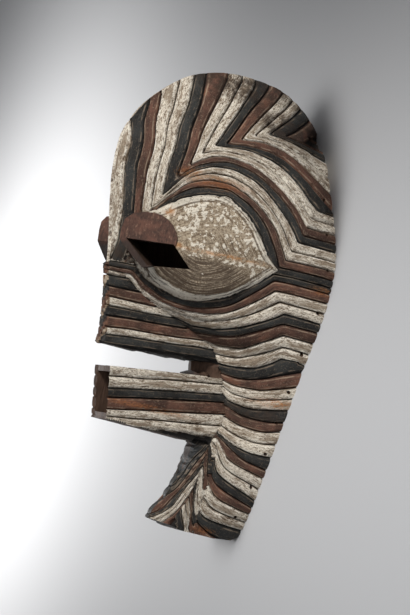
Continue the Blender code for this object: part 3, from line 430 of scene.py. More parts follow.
def noise(points, size, seed=0):
    """Smooth noise from -1 to 1 at points, with bumps of the given size."""
    p = np.asarray(points, float) / size + seed * 17.31
    cell = np.floor(p).astype(np.int64)
    t = p - cell
    t = t * t * (3 - 2 * t)
    total = np.zeros(len(p))
    for corner in np.ndindex(*(2,) * p.shape[1]):
        weight = np.ones(len(p))
        code = np.full(len(p), 374761393 * (seed + 1), np.int64)
        for axis, side in enumerate(corner):
            weight *= t[:, axis] if side else 1 - t[:, axis]
            code = (code ^ ((cell[:, axis] + side) * AXIS_PRIMES[axis])) * 1274126177
            code = (code ^ (code >> 13)) & 0xFFFFFFFF
        total += weight * (code & 0xFFFF) / 65535.0
    return 2 * total - 1


def region_of(y, z):
    """Which family of strips a point of the side drawing belongs to."""
    body = body_x(y, z)
    region = np.where((y > 309) | ((y > 290) & (z > 200)), UPPER, LOWER)
    region = np.where((y < 290) & (y > nose_floor(z)) & (nose_x(y, z) > body), NOSE_SIDE, region)
    in_mouth = (y < mouth_top(z)) & (y > mouth_low(z)) & (mouth_x(z) > body)
    region = np.where(in_mouth, MOUTH_SIDE, region)
    ridge_y, ridge_z = np.array(CHIN_RIDGE, float).T
    region = np.where((y < 102) & (z > np.interp(y, ridge_y, ridge_z)), CHIN_FLANK, region)
    region = np.where(eye_share(y, z) < 1, PLAIN, region)
    behind_gap = (z > through(y, TURN_Y, TURN_Z)) & (y < nose_floor(z)) & (y > mouth_top(z))
    return np.where(behind_gap, PLAIN, region)


def resample(points, step):
    """Points along a closed outline, close to one step apart, that keep its corners."""
    pts = np.asarray(points, float)
    before, after = pts - np.roll(pts, 1, 0), np.roll(pts, -1, 0) - pts
    turn = np.arctan2(before[:, 0] * after[:, 1] - before[:, 1] * after[:, 0], (before * after).sum(1))
    corners = np.flatnonzero(np.abs(turn) > 0.35)
    out = []
    for a, b in zip(corners, np.roll(corners, -1)):
        ids = np.arange(a, b + 1 if b > a else b + len(pts) + 1) % len(pts)
        run = pts[ids]
        length = np.concatenate([[0], np.cumsum(np.hypot(*np.diff(run, axis=0).T))])
        count = max(1, int(round(length[-1] / step)))
        at = np.linspace(0, length[-1], count, endpoint=False)
        out.append(np.stack([np.interp(at, length, run[:, 0]), np.interp(at, length, run[:, 1])], 1))
    return np.vstack(out)


def side_mesh(outline, step):
    """Triangles that fill a closed outline of the side drawing."""
    edge = resample(outline, step)
    low, high = edge.min(0), edge.max(0)
    rows = np.arange(low[0], high[0], step * 0.866)
    grid = []
    for i, y in enumerate(rows):
        z = np.arange(low[1] + (i % 2) * step / 2, high[1], step)
        grid.append(np.stack([np.full(len(z), y), z], 1))
    grid = np.vstack(grid)
    gap = np.full(len(grid), 1e9)
    inside = np.zeros(len(grid), bool)
    for a, b in zip(edge, np.roll(edge, -1, 0)):
        along = b - a
        t = np.clip(((grid - a) @ along) / (along @ along), 0, 1)
        gap = np.minimum(gap, np.hypot(*(grid - a - t[:, None] * along).T))
        crosses = (a[0] > grid[:, 0]) != (b[0] > grid[:, 0])
        rise = along[0] if abs(along[0]) > 1e-12 else 1e-12
        inside ^= crosses & (grid[:, 1] < a[1] + (grid[:, 0] - a[0]) * along[1] / rise)
    grid = grid[inside & (gap > 0.55 * step)]
    points = np.vstack([edge, grid])
    ring = [(i, (i + 1) % len(edge)) for i in range(len(edge))]
    verts, _, faces, *_ = delaunay_2d_cdt([Vector(p) for p in points], ring, [], 1, 1e-6)
    return np.array([v[:] for v in verts], float), np.array([f for f in faces if len(f) == 3], int)


def boundary_edges(tris):
    """Edges that have a triangle on one side only, in the triangles' own direction."""
    pairs = np.vstack([tris[:, [0, 1]], tris[:, [1, 2]], tris[:, [2, 0]]])
    key = np.sort(pairs, 1)
    _, first, count = np.unique(key, axis=0, return_index=True, return_counts=True)
    return pairs[first[count == 1]]


def triangle_sides(tris):
    """Each side of the triangles once, lower corner first."""
    pairs = np.vstack([tris[:, [0, 1]], tris[:, [1, 2]], tris[:, [2, 0]]])
    return np.unique(np.sort(pairs, 1), axis=0)


def cut(drawing, value, level, use):
    """Cut the triangles in use along the line where value equals level.

    Corners near the line move onto it, if no other line holds them. What the points carry
    besides their place moves with them.
    """
    points, tris, fixed = drawing
    gap = value - level
    pairs = triangle_sides(tris[use])
    a, b = gap[pairs[:, 0]], gap[pairs[:, 1]]
    crossing = a * b < 0
    if not crossing.any():
        return drawing, use
    pairs, a, b = pairs[crossing], a[crossing], b[crossing]
    t = a / (a - b)
    on_line = np.zeros(len(points), bool)
    for end, near in ((0, t < 0.25), (1, t > 0.75)):
        ids = pairs[near, end]
        movable = ~fixed[ids]
        ids, share = ids[movable], t[near][movable][:, None]
        first, second = points[pairs[near][movable, 0]], points[pairs[near][movable, 1]]
        points[ids] = first * (1 - share) + second * share
        on_line[ids] = True
    still = ~(on_line[pairs[:, 0]] | on_line[pairs[:, 1]])
    pairs, t = pairs[still], t[still][:, None]
    fresh = points[pairs[:, 0]] * (1 - t) + points[pairs[:, 1]] * t
    split = {tuple(pair): len(points) + i for i, pair in enumerate(pairs.tolist())}
    fixed = np.concatenate([fixed | on_line, np.ones(len(fresh), bool)])
    points = np.vstack([points, fresh])
    out, flags = [], []
    touched = np.isin(tris, np.unique(pairs)).sum(1) >= 2
    for tri, flag in zip(tris[touched].tolist(), use[touched].tolist()):
        sides = ((tri[0], tri[1]), (tri[1], tri[2]), (tri[2], tri[0]))
        pieces = split_triangle(tri, [split.get((min(side), max(side))) for side in sides])
        out.extend(pieces)
        flags.extend([flag] * len(pieces))
    tris = np.vstack([tris[~touched], np.array(out, int).reshape(-1, 3)])
    use = np.concatenate([use[~touched], np.array(flags, bool)])
    return (points, tris, fixed), use


def split_triangle(tri, mids):
    """Divide a triangle at the given points on its sides."""
    count = sum(m is not None for m in mids)
    if count == 0:
        return [tri]
    a, b, c = tri
    ab, bc, ca = mids
    if count == 1:
        while ab is None:
            a, b, c, ab, bc, ca = b, c, a, bc, ca, ab
        return [[a, ab, c], [ab, b, c]]
    if count == 2:
        while ca is not None:
            a, b, c, ab, bc, ca = b, c, a, bc, ca, ab
        return [[ab, b, bc], [a, ab, bc], [a, bc, c]]
    return [[a, ab, ca], [ab, b, bc], [bc, c, ca], [ab, bc, ca]]


def crease_fields():
    """Lines of the side drawing along which the surface or the strips turn: field, level and where."""
    ridge_y, ridge_z = np.array(CHIN_RIDGE, float).T
    creases = [
        (eye_share, 1.0, lambda y, z: y > 240),
        (eye_share, 0.94, lambda y, z: y > 240),
        (lambda y, z: y, EYE_RIDGE_Y, lambda y, z: (eye_share(y, z) < 0.97) & (z < 185)),
        (lambda y, z: nose_x(y, z) - body_x(y, z), 0.0,
         lambda y, z: (y < 345) & (y > nose_floor(z) - 4)),
        (lambda y, z: mouth_x(z) - body_x(y, z), 0.0, lambda y, z: (y < 186) & (y > 98)),
    ]
    ledges = [(lambda y, z: mouth_top(z) - y, 1.5, 50, 100), (lambda y, z: y - mouth_low(z), 2.0, 50, 95),
              (lambda y, z: y - nose_floor(z), 1.5, 70, 105)]
    for field, width, low, high in ledges:
        for level in (0.0, width):
            creases.append((field, level, lambda y, z, low=low, high=high: (z < high) & (z > low)))
    return creases + [
        (lambda y, z: z - np.interp(y, ridge_y, ridge_z), 0.0, lambda y, z: y < 104),
        (lambda y, z: fan_strips(y, z) - brow_strips(y, z), 0.0,
         lambda y, z: (y > 345) & (eye_share(y, z) > 1)),
        (lambda y, z: brow_strips(y, z) - straight_strips(TEMPLE, y, z, 0, 55, 1), 0.0,
         lambda y, z: (y > 309) & (z < 75)),
        (lambda y, z: smile_strips(y, z) - straight_strips(JAW, y, z, 0, 45, -1), 0.0,
         lambda y, z: (y < 312) & (y > 205) & (z < 75)),
        (lambda y, z: y, 309.0, lambda y, z: z < 72),
    ]


def draw_side():
    """The side drawing, cut along its creases and the edges of its grooves.

    Each point carries (y, z) and its strip number in each family.
    """
    verts, tris = side_mesh(outer_outline(), SIDE_STEP)
    wobble = [HAND_WOBBLE * noise(verts, 28, seed) for seed in (1, 2)]
    y, z = verts[:, 0] + wobble[0], verts[:, 1] + wobble[1]
    columns = [field(y, z) for field in STRIP_FIELDS.values()]
    fixed = np.zeros(len(verts), bool)
    fixed[boundary_edges(tris).ravel()] = True
    drawing = (np.column_stack([verts] + columns), tris, fixed)
    for field, level, where in crease_fields():
        points, tris, _ = drawing
        drawing, _ = cut(drawing, field(*points[:, :2].T), level, where(*points[tris, :2].mean(1).T))
    for kind in STRIP_KINDS:
        points, tris, _ = drawing
        use = region_of(*points[tris, :2].mean(1).T) == kind
        top = points[np.unique(tris[use]), 2 + kind].max()
        for number in range(int(top) + 2):
            for level in (number, number - GROOVE_SHARE, number + GROOVE_SHARE):
                drawing, use = cut(drawing, drawing[0][:, 2 + kind], level, use)
    points, tris, _ = drawing
    return points, tris, region_of(*points[tris, :2].mean(1).T)


def strip_relief(number):
    """Height of a strip above its grooves' lips: a V groove at each edge and a slightly round back."""
    share = number - np.floor(number)
    edge = np.minimum(share, 1 - share)
    groove = np.clip(1 - edge / GROOVE_SHARE, 0, 1)
    return STRIP_BULGE * (1 - (2 * share - 1)**2) - GROOVE_DEPTH * groove


def slopes(y, z, size=1.0):
    """How half_x() rises along y and along z."""
    along_y = (half_x(y + size, z) - half_x(y - size, z)) / (2 * size)
    along_z = (half_x(y, z + size) - half_x(y, z - size)) / (2 * size)
    return np.clip(along_y, -1.5, 1.5), np.clip(along_z, -1.5, 1.5)


def carved_half(points, tris, region, side):
    """Points of one carved half in space; side is 1 for the mask's left and -1 for its right."""
    y, z = points[:, :2].T
    x = half_x(y, z)
    lift = np.full(len(points), 9.0)
    for kind in STRIP_KINDS:
        ids = np.unique(tris[region == kind])
        lift[ids] = np.minimum(lift[ids], strip_relief(points[ids, 2 + kind]))
    plain = np.unique(tris[region == PLAIN])
    lift[plain] = np.where(lift[plain] < 8, np.minimum(lift[plain], 0), 0)
    fade = 0.8 + 0.2 * ramp(z / RIM_FADE)
    slope_y, slope_z = slopes(y, z)
    normal = np.column_stack([np.ones(len(x)), -slope_y, -slope_z])
    normal /= np.linalg.norm(normal, axis=1, keepdims=True)
    normal[z < 3, 2] = 0.0
    place = np.column_stack([x, y, z]) * (side, 1, 1)
    tool_marks = 0.35 * noise(place * (1, 0.5, 1), 9, 5) + 0.15 * noise(place, 3.5, 6)
    depth = lift * fade + tool_marks - CUT_BACK
    half = np.column_stack([x, y, z]) + normal * depth[:, None]
    half[:, 0] = np.maximum(half[:, 0], LEAST_HALF_WIDTH)
    return half * (side, 1, 1)


def face_tones(points, tris, region):
    """The paint of each triangle of the side drawing."""
    tone = np.full(len(tris), EYE)
    for kind in STRIP_KINDS:
        ids = np.flatnonzero(region == kind)
        number = np.floor(points[tris[ids], 2 + kind].mean(1)).astype(int)
        if kind == NOSE_SIDE:
            tone[ids] = np.array(NOSE_TONES)[np.clip(number, 0, len(NOSE_TONES) - 1)]
        elif kind == CHIN_FLANK:
            tone[ids] = np.array(FLANK_TONES)[np.clip(number, 0, len(FLANK_TONES) - 1)]
        else:
            tone[ids] = np.array(FOUR_TONES)[number % 4]
    behind_gap = (region == PLAIN) & (eye_share(*points[tris, :2].mean(1).T) >= 1)
    tone[behind_gap] = WOOD
    return tone


def edge_values(points, tris, region):
    """Per triangle corner: 0 in a groove and 1 on a strip's back, or the share of the eye's radius."""
    value = np.ones(tris.shape)
    for kind in STRIP_KINDS:
        ids = np.flatnonzero(region == kind)
        number = points[tris[ids], 2 + kind]
        value[ids] = 2 * np.abs(number - np.round(number))
    ids = np.flatnonzero(region == PLAIN)
    share = eye_share(points[tris[ids], 0], points[tris[ids], 1])
    value[ids] = np.where(share > 1.05, 1.0, share)
    return value


def across_values(points, tris, region):
    """Per triangle corner: its place across the strips, or across rings round the eye."""
    y, z = points[tris, 0], points[tris, 1]
    value = 8 * eye_share(y, z)
    for kind in STRIP_KINDS:
        ids = np.flatnonzero(region == kind)
        value[ids] = points[tris[ids], 2 + kind]
    return value


def spot_values(points, tris, spots):
    """Per triangle corner: how much of the spots (y, z, radius along y, radius along z) is there."""
    y, z = points[tris, 0], points[tris, 1]
    value = np.zeros(tris.shape)
    for spot_y, spot_z, radius_y, radius_z in spots:
        reach = np.hypot((y - spot_y) / radius_y, (z - spot_z) / radius_z)
        value = np.maximum(value, ramp(1.4 - reach))
    return value


def outer_outline():
    head = [tuple(p) for p in CREST_LINE[::-1]]
    return head[:-1] + NOSE_PROFILE + LIP_PROFILE + CHIN_PROFILE


def zip_rows(row_a, row_b):
    """Triangles between two rows of points."""
    out, i, j = [], 0, 0
    last_a, last_b = len(row_a) - 1, len(row_b) - 1
    while i < last_a or j < last_b:
        ahead = (i + 1) / max(last_a, 1) <= (j + 1) / max(last_b, 1)
        if j == last_b or (i < last_a and ahead):
            out.append((row_a[i], row_a[i + 1], row_b[j]))
            i += 1
        else:
            out.append((row_a[i], row_b[j + 1], row_b[j]))
            j += 1
    return out


def front_tone(y, z):
    """The paint of the front faces between the two halves."""
    if z < 2 and y > -4:
        return RIM_WOOD
    if y > 286:
        return WHITE
    if y > 190 and z > 180:
        return FRONT
    if y < 100 and z > 78:
        return BLACK
    return WOOD


def front_number(y, x, half_width):
    """Strips on the nose's front run down from its edges to the middle."""
    fall = FRONT_FALL * (1 - abs(x) / half_width)
    return straight_strips(NOSE, np.array([y + fall]), np.array([215.0]), 215, 100, -1)[0]


def closed_carving(points, tris, region):
    """The left and right halves, joined by walls along their outline."""
    left = carved_half(points, tris, region, 1)
    right = carved_half(points, tris, region, -1)
    count = len(left)
    verts = [left, right]
    rim = boundary_edges(tris)
    rows, extra, extra_count = {}, [], 0
    for v in np.unique(rim):
        start, end = left[v], right[v]
        wide = start[0] > 3
        steps = FRONT_COLUMNS if wide else 1
        row = [int(v)]
        for k in range(1, steps):
            share = k / steps
            p = start * (1 - share) + end * share
            if start[2] > 180 and start[1] < 286 and wide:
                number = front_number(start[1], p[0], start[0])
                relief = FRONT_RELIEF * strip_relief(np.array([number]))[0]
                p = p + np.array([0, 0, FRONT_BULGE * (1 - (2 * share - 1)**2) + relief])
            row.append(2 * count + extra_count)
            extra.append(p)
            extra_count += 1
        row.append(int(v) + count)
        rows[int(v)] = row
    extra = np.array(extra)
    extra += 0.5 * np.column_stack([noise(extra, 7, 20), noise(extra, 7, 21), noise(extra, 7, 22)]) * (
        (extra[:, 2] > 3)[:, None])
    verts.append(extra)
    tone = face_tones(points, tris, region)
    edge = edge_values(points, tris, region)
    faces = [tris, tris[:, ::-1] + count]
    tones = [tone, tone]
    edges = [edge, edge[:, ::-1]]
    walls, wall_tones = [], []
    for a, b in rim.tolist():
        middle = (points[a, :2] + points[b, :2]) / 2
        pieces = zip_rows(rows[a], rows[b])
        walls += pieces
        wall_tones += [front_tone(*middle)] * len(pieces)
    faces.append(np.array(walls))
    tones.append(np.array(wall_tones))
    edges.append(np.ones((len(walls), 3)))
    corner_values = {"edge": np.vstack(edges)}
    blank = np.zeros((len(walls), 3))
    halves = {"ochre": spot_values(points, tris, OCHRE_SPOTS),
              "dirt_and_shade": spot_values(points, tris, DIRT_AND_SHADE_SPOTS),
              "across": across_values(points, tris, region)}
    for label, half in halves.items():
        corner_values[label] = np.vstack([half, half[:, ::-1], blank])
    return np.vstack(verts), np.vstack(faces), np.concatenate(tones), corner_values


def mesh_object(name, verts, faces, tones, corner_values):
    """A mesh object with a paint number for each face and named values at the corners."""
    mesh = bpy.data.meshes.new(name)
    mesh.from_pydata(((verts - (0.0, CENTRE_Y, 0.0)) * MM).tolist(), [], faces.tolist())
    for label, values in corner_values.items():
        layer = mesh.attributes.new(label, "FLOAT", "CORNER")
        layer.data.foreach_set("value", np.ravel(values).astype(np.float32))
    mesh.polygons.foreach_set("material_index", np.asarray(tones, np.int32))
    for mat in PAINTS:
        mesh.materials.append(mat)
    obj = bpy.data.objects.new(name, mesh)
    bpy.context.scene.collection.objects.link(obj)
    return obj


def outward(obj):
    """Turn the faces to point out if the mesh encloses a negative volume."""
    mesh = obj.data
    mesh.calc_loop_triangles()
    corners = np.empty(len(mesh.vertices) * 3)
    mesh.vertices.foreach_get("co", corners)
    ids = np.empty(len(mesh.loop_triangles) * 3, int)
    mesh.loop_triangles.foreach_get("vertices", ids)
    a, b, c = corners.reshape(-1, 3)[ids.reshape(-1, 3)].transpose(1, 0, 2)
    if (a * np.cross(b, c)).sum() < 0:
        mesh.flip_normals()


def make_cavity():
    """The hollow behind the face, with a roughly gouged surface."""
    verts, tris = side_mesh(CAVITY_PROFILE, CAVITY_STEP)
    y, z = verts.T
    halves = []
    for side in (1, -1):
        half = np.column_stack([cavity_x(y, z), y, z])
        gouges = 0.9 * noise(half * (side, 0.6, 1), 16, 30) + 0.4 * noise(half * (side, 1, 1), 7, 31)
        half[:, 0] += np.where(z > 1, gouges, 0)
        halves.append(half * (side, 1, 1))
    count = len(verts)
    rim = boundary_edges(tris)
    walls = np.vstack([np.stack([rim[:, 1], rim[:, 0], rim[:, 0] + count], 1),
                       np.stack([rim[:, 1], rim[:, 0] + count, rim[:, 1] + count], 1)])
    faces = np.vstack([tris, tris[:, ::-1] + count, walls])
    return mesh_object("cavity_cutter", np.vstack(halves), faces, [WOOD] * len(faces), {})


def blocks(name, pairs, tone=WOOD):
    """Closed blocks, each between two faces with the same number of corners."""
    verts, faces = [], []
    for near, far in pairs:
        sides, first = len(near), len(verts)
        verts.extend(list(near) + list(far))
        for i in range(1, sides - 1):
            faces.append([first, first + i, first + i + 1])
            faces.append([first + sides, first + sides + i + 1, first + sides + i])
        for i in range(sides):
            j = (i + 1) % sides
            faces.append([first + i, first + sides + i, first + sides + j])
            faces.append([first + i, first + sides + j, first + j])
    return mesh_object(name, np.array(verts, float), np.array(faces), [tone] * len(faces), {})


def visor_blocks(name, outline, past, depth, tone):
    """A prism on each eye's flat front: an outline (z, y) pushed out by past and in by depth."""
    normal = np.array(VISOR_NORMAL)
    pairs = []
    for side in (1, -1):
        flip = np.array([side, 1, 1])
        face = [np.array([float(visor_x(y, z)), y, z]) for z, y in outline]
        near = [(p + past * normal) * flip for p in face]
        far = [(p - depth * normal) * flip for p in face]
        pairs.append((near[::side], far[::side]))
    return blocks(name, pairs, tone)


def make_mouth_tunnel():
    half = MOUTH_HOLE_HALF
    front = [(-half, 111, 232), (half, 111, 232), (half, 157, 232), (-half, 157, 232)]
    back = [(-half, 113, 22), (half, 113, 22), (half, 174, 22), (-half, 174, 22)]
    return blocks("mouth_cutter", [(front, back)])


def make_tie_holes():
    """Round rods that cross the wall just in front of the rim."""
    pairs = []
    for side in (1, -1):
        flip = np.array([side, 1, 1])
        for z, y in TIE_HOLES:
            ends = half_x(np.array([y - 4.0, y, y + 4.0]), np.full(3, float(z)))
            out = np.array([8.0, ends[0] - ends[2], 0.0])
            out /= np.linalg.norm(out)
            along = np.array([-out[1], out[0], 0.0])
            turn = np.arange(12) * np.pi / 6
            ring = TIE_HOLE_RADIUS * (np.cos(turn)[:, None] * along + np.sin(turn)[:, None] * (0, 0, 1))
            near = (np.array([ends[1], y, z]) + ring + HOLE_PAST * out) * flip
            far = (np.array([ends[1], y, z]) + ring - HOLE_DEPTH * out) * flip
            pairs.append((near[::side], far[::side]))
    return blocks("tie_hole_cutter", pairs)


def make_rim_notch():
    near, far = [[(x, y, z) for y, z in RIM_NOTCH] for x in NOTCH_DEPTH_X]
    return blocks("rim_notch_cutter", [(near, far)])


def make_mask():
    """The carved shell, hollowed and pierced."""
    points, tris, region = draw_side()
    mask = mesh_object("carved_mask", *closed_carving(points, tris, region))
    outward(mask)
    cutters = [visor_blocks("visors", VISOR_FACE, VISOR_PROUD, VISOR_ROOT, VISOR), make_cavity(),
               make_mouth_tunnel(), visor_blocks("eye_cutter", EYE_SLOT, SLOT_PAST, SLOT_DEPTH, WOOD),
               make_tie_holes(), make_rim_notch()]
    for cutter in cutters:
        outward(cutter)
        hollow = mask.modifiers.new(cutter.name, "BOOLEAN")
        hollow.operation = "UNION" if cutter.name == "visors" else "DIFFERENCE"
        hollow.solver = "MANIFOLD"
        hollow.object = cutter
    depsgraph = bpy.context.evaluated_depsgraph_get()
    carved = bpy.data.meshes.new_from_object(mask.evaluated_get(depsgraph), depsgraph=depsgraph)
    mask.modifiers.clear()
    mask.data = carved
    for cutter in cutters:
        bpy.data.objects.remove(cutter)
    carved.shade_smooth()
    carved.set_sharp_from_angle(angle=0.75)
    return mask


class Shader:
    """A short way to write a node material."""

    def __init__(self, name):
        self.mat = bpy.data.materials.new(name)
        self.mat.use_nodes = True
        self.tree = self.mat.node_tree
        self.surface = self.tree.nodes["Principled BSDF"]
        self.place = self.node("ShaderNodeTexCoord").outputs["Object"]

    def node(self, kind, **values):
        made = self.tree.nodes.new(kind)
        for key, value in values.items():
            setattr(made, key, value)
        return made

    def feed(self, socket, value):
        if isinstance(value, bpy.types.NodeSocket):
            self.tree.links.new(value, socket)
        else:
            socket.default_value = value

    def corner(self, name):
        """A value stored at the mesh's corners."""
        return self.node("ShaderNodeAttribute", attribute_name=name).outputs["Fac"]

    def grain(self, vector, scale, detail, rough, warp=0.0):
        made = self.node("ShaderNodeTexNoise")
        made.inputs["Scale"].default_value = scale
        made.inputs["Detail"].default_value = detail
        made.inputs["Roughness"].default_value = rough
        made.inputs["Distortion"].default_value = warp
        self.feed(made.inputs["Vector"], vector)
        return made.outputs["Fac"]

    def noise(self, scale, stretch=(1, 1, 1), detail=4.0, rough=0.6, warp=0.0):
        """Noise in the object's own space, with bumps about 1 / scale metres wide."""
        mapping = self.node("ShaderNodeMapping")
        mapping.inputs["Scale"].default_value = stretch
        self.feed(mapping.inputs["Vector"], self.place)
        return self.grain(mapping.outputs["Vector"], scale, detail, rough, warp)

    def streaks(self, across, along, detail=5.0, rough=0.62, warp=0.0):
        """Noise drawn out along the strips: bumps per strip, and bumps per metre along it."""
        mapping = self.node("ShaderNodeMapping")
        mapping.inputs["Scale"].default_value = (along * 0.4, along, along)
        self.feed(mapping.inputs["Vector"], self.place)
        parts = self.node("ShaderNodeSeparateXYZ")
        self.feed(parts.inputs[0], mapping.outputs["Vector"])
        joined = self.node("ShaderNodeCombineXYZ")
        place = self.math("ADD", self.times(self.corner("across"), across), parts.outputs[0])
        self.feed(joined.inputs[0], place)
        self.feed(joined.inputs[1], parts.outputs[1])
        self.feed(joined.inputs[2], parts.outputs[2])
        return self.grain(joined.outputs[0], 1.0, detail, rough, warp)

    def step(self, value, low, high):
        """0 below low and 1 above high, or the other way round."""
        made = self.node("ShaderNodeMapRange", clamp=True, interpolation_type="SMOOTHSTEP")
        self.feed(made.inputs["Value"], value)
        made.inputs["From Min"].default_value = min(low, high)
        made.inputs["From Max"].default_value = max(low, high)
        made.inputs["To Min"].default_value = float(low > high)
        made.inputs["To Max"].default_value = float(low < high)
        return made.outputs["Result"]

    def math(self, operation, a, b=0.0):
        made = self.node("ShaderNodeMath", operation=operation)
        self.feed(made.inputs[0], a)
        self.feed(made.inputs[1], b)
        return made.outputs[0]

    def times(self, *values):
        total = values[0]
        for value in values[1:]:
            total = self.math("MULTIPLY", total, value)
        return total

    def mix(self, share, a, b):
        made = self.node("ShaderNodeMix", data_type="RGBA")
        self.feed(made.inputs["Factor"], share)
        self.feed(made.inputs[6], a)
        self.feed(made.inputs[7], b)
        return made.outputs[2]

    def coat(self, colour, tone, weight, *steps):
        """Lay a tone over a colour where every (value, low, high) step lets it show."""
        share = weight
        for value in steps:
            share = self.times(self.step(*value) if isinstance(value, tuple) else value, share)
        return self.mix(share, colour, tint(*tone))

    def finish(self, colour, rough, height, depth):
        self.feed(self.surface.inputs["Base Color"], colour)
        self.feed(self.surface.inputs["Roughness"], rough)
        self.surface.inputs["Metallic"].default_value = 0.0
        self.surface.inputs["Specular IOR Level"].default_value = 0.3
        bump = self.node("ShaderNodeBump")
        bump.inputs["Strength"].default_value = 1.0
        bump.inputs["Distance"].default_value = depth
        self.feed(bump.inputs["Height"], height)
        self.feed(self.surface.inputs["Normal"], bump.outputs["Normal"])
        return self.mat


def tint(red, green, blue):
    """A colour given as it looks on screen, 0 to 255."""
    return tuple((c / 255.0)**2.2 for c in (red, green, blue)) + (1.0,)


BARE_WOOD = (100, 82, 66)
DARK_WOOD = (58, 44, 35)
# Painted shade: the colour laid in the bottom of the grooves
GROOVE_SHADE = (20, 17, 15)
OCHRE = (160, 106, 62)


def add_dirt_and_shade(s, colour, edge, dirt_and_shade):
    """Painted shade in the bottom of the grooves, and brown soiling mixed with painted shade over the spots.
    """
    spread = s.noise(70, (1, 1, 1), 4, 0.7)
    # Brown soiling and painted shade where the spots lie.
    colour = s.coat(colour, (58, 47, 39), 0.8, (dirt_and_shade, 0.0, 1.0), (spread, 0.36, 0.60))
    # Painted shade: the groove bottoms turn near black.
    return s.coat(colour, GROOVE_SHADE, 0.9, (edge, 0.15, 0.03))


def white_paint():
    """Chalky paint, rubbed through in streaks, with a painted highlight along the strips' edges, where the
    paint is also a little less worn.
    """
    s = Shader("white_paint")
    edge, ochre, dirt_and_shade = s.corner("edge"), s.corner("ochre"), s.corner("dirt_and_shade")
    cloud = s.noise(30, (1, 0.6, 1), 5, 0.6)
    broad = s.streaks(4.0, 70, 6, 0.7)
    fine = s.streaks(12.0, 260, 6, 0.75)
    pits = s.noise(620, (1, 0.8, 1), 3, 0.75)
    patches = s.streaks(1.6, 24, 6, 0.72)
    colour = s.mix(s.step(fine, 0.38, 0.56), tint(156, 140, 120), tint(228, 219, 203))
    colour = s.coat(colour, (132, 115, 96), 0.8, (patches, 0.52, 0.42))
    colour = s.coat(colour, (134, 117, 98), 0.5, (cloud, 0.48, 0.34))
    # Painted highlight: a light line along both edges of each white strip, which also holds off wear a little.
    highlight_lip = s.times(s.step(edge, 0.16, 0.24), s.step(edge, 0.56, 0.36), s.step(broad, 0.38, 0.52))
    colour = s.coat(colour, (238, 231, 217), 0.85, highlight_lip)
    worn = s.math("ADD", s.times(fine, 0.45), s.times(broad, 0.55))
    worn = s.math("SUBTRACT", worn, s.math("ADD", s.times(highlight_lip, 0.04), s.times(dirt_and_shade, 0.05)))
    colour = s.coat(colour, (112, 94, 76), 0.85, (worn, 0.50, 0.42))
    colour = s.coat(colour, DARK_WOOD, 0.8, (worn, 0.43, 0.37))
    colour = s.coat(colour, (74, 58, 46), 0.8, (pits, 0.55, 0.66))
    colour = s.coat(colour, OCHRE, 1.0, ochre, (fine, 0.46, 0.58))
    colour = add_dirt_and_shade(s, colour, edge, dirt_and_shade)
    height = s.math("ADD", s.times(worn, 1.8), s.times(pits, -0.6))
    return s.finish(colour, 0.85, height, 0.0018)


# Layers of black and red paint: tone, weight, and where a named value lets it show (value, low, high)
BLACK_LAYERS = [
    ((72, 70, 66), 0.5, ("broad", 0.54, 0.66)),
    ((98, 86, 74), 0.7, ("fine", 0.56, 0.68)),
    ((50, 38, 31), 0.8, ("fine", 0.42, 0.34)),
    ((118, 104, 88), 0.7, ("pits", 0.58, 0.68)),
    ((126, 112, 97), 0.8, ("edge", 0.22, 0.28), ("edge", 0.46, 0.34), ("broad", 0.44, 0.56)),
    (OCHRE, 1.0, "ochre", ("fine", 0.48, 0.58)),
]
RED_LAYERS = [
    ((58, 44, 37), 0.7, ("broad", 0.50, 0.38)),
    ((140, 116, 98), 0.6, ("fine", 0.56, 0.68)),
    ((140, 88, 58), 0.5, ("cloud", 0.54, 0.68), ("broad", 0.50, 0.62)),
    ((50, 38, 32), 0.8, ("fine", 0.42, 0.34)),
    ((150, 132, 112), 0.6, ("pits", 0.58, 0.68)),
    ((160, 100, 58), 0.6, "ochre", ("fine", 0.42, 0.58)),
    ((158, 138, 118), 0.7, ("edge", 0.22, 0.28), ("edge", 0.48, 0.34), ("broad", 0.42, 0.56)),
]


def strip_paint(name, cloud_scale, dark, light, dark_below, layers, rough):
    """Black or red paint with streaks, rubbed edges and pits, and painted shade in the grooves and over the
    spots.
    """
    s = Shader(name)
    edge, dirt_and_shade, fine = s.corner("edge"), s.corner("dirt_and_shade"), s.streaks(12.0, 240, 6, 0.75)
    broad, cloud = s.streaks(4.0, 70, 6, 0.68), s.noise(cloud_scale, (1, 0.5, 1), 5, 0.6)
    values = {"edge": edge, "ochre": s.corner("ochre"), "cloud": cloud, "broad": broad, "fine": fine,
              "pits": s.noise(560, (1, 0.8, 1), 3, 0.75)}
    colour = s.mix(s.step(cloud, dark_below, 0.68), tint(*dark), tint(*light))
    for tone, weight, *steps in layers:
        shares = [values[step] if isinstance(step, str) else (values[step[0]], *step[1:]) for step in steps]
        colour = s.coat(colour, tone, weight, *shares)
    colour = add_dirt_and_shade(s, colour, edge, dirt_and_shade)
    return s.finish(colour, rough, s.math("ADD", fine, broad), 0.0016)


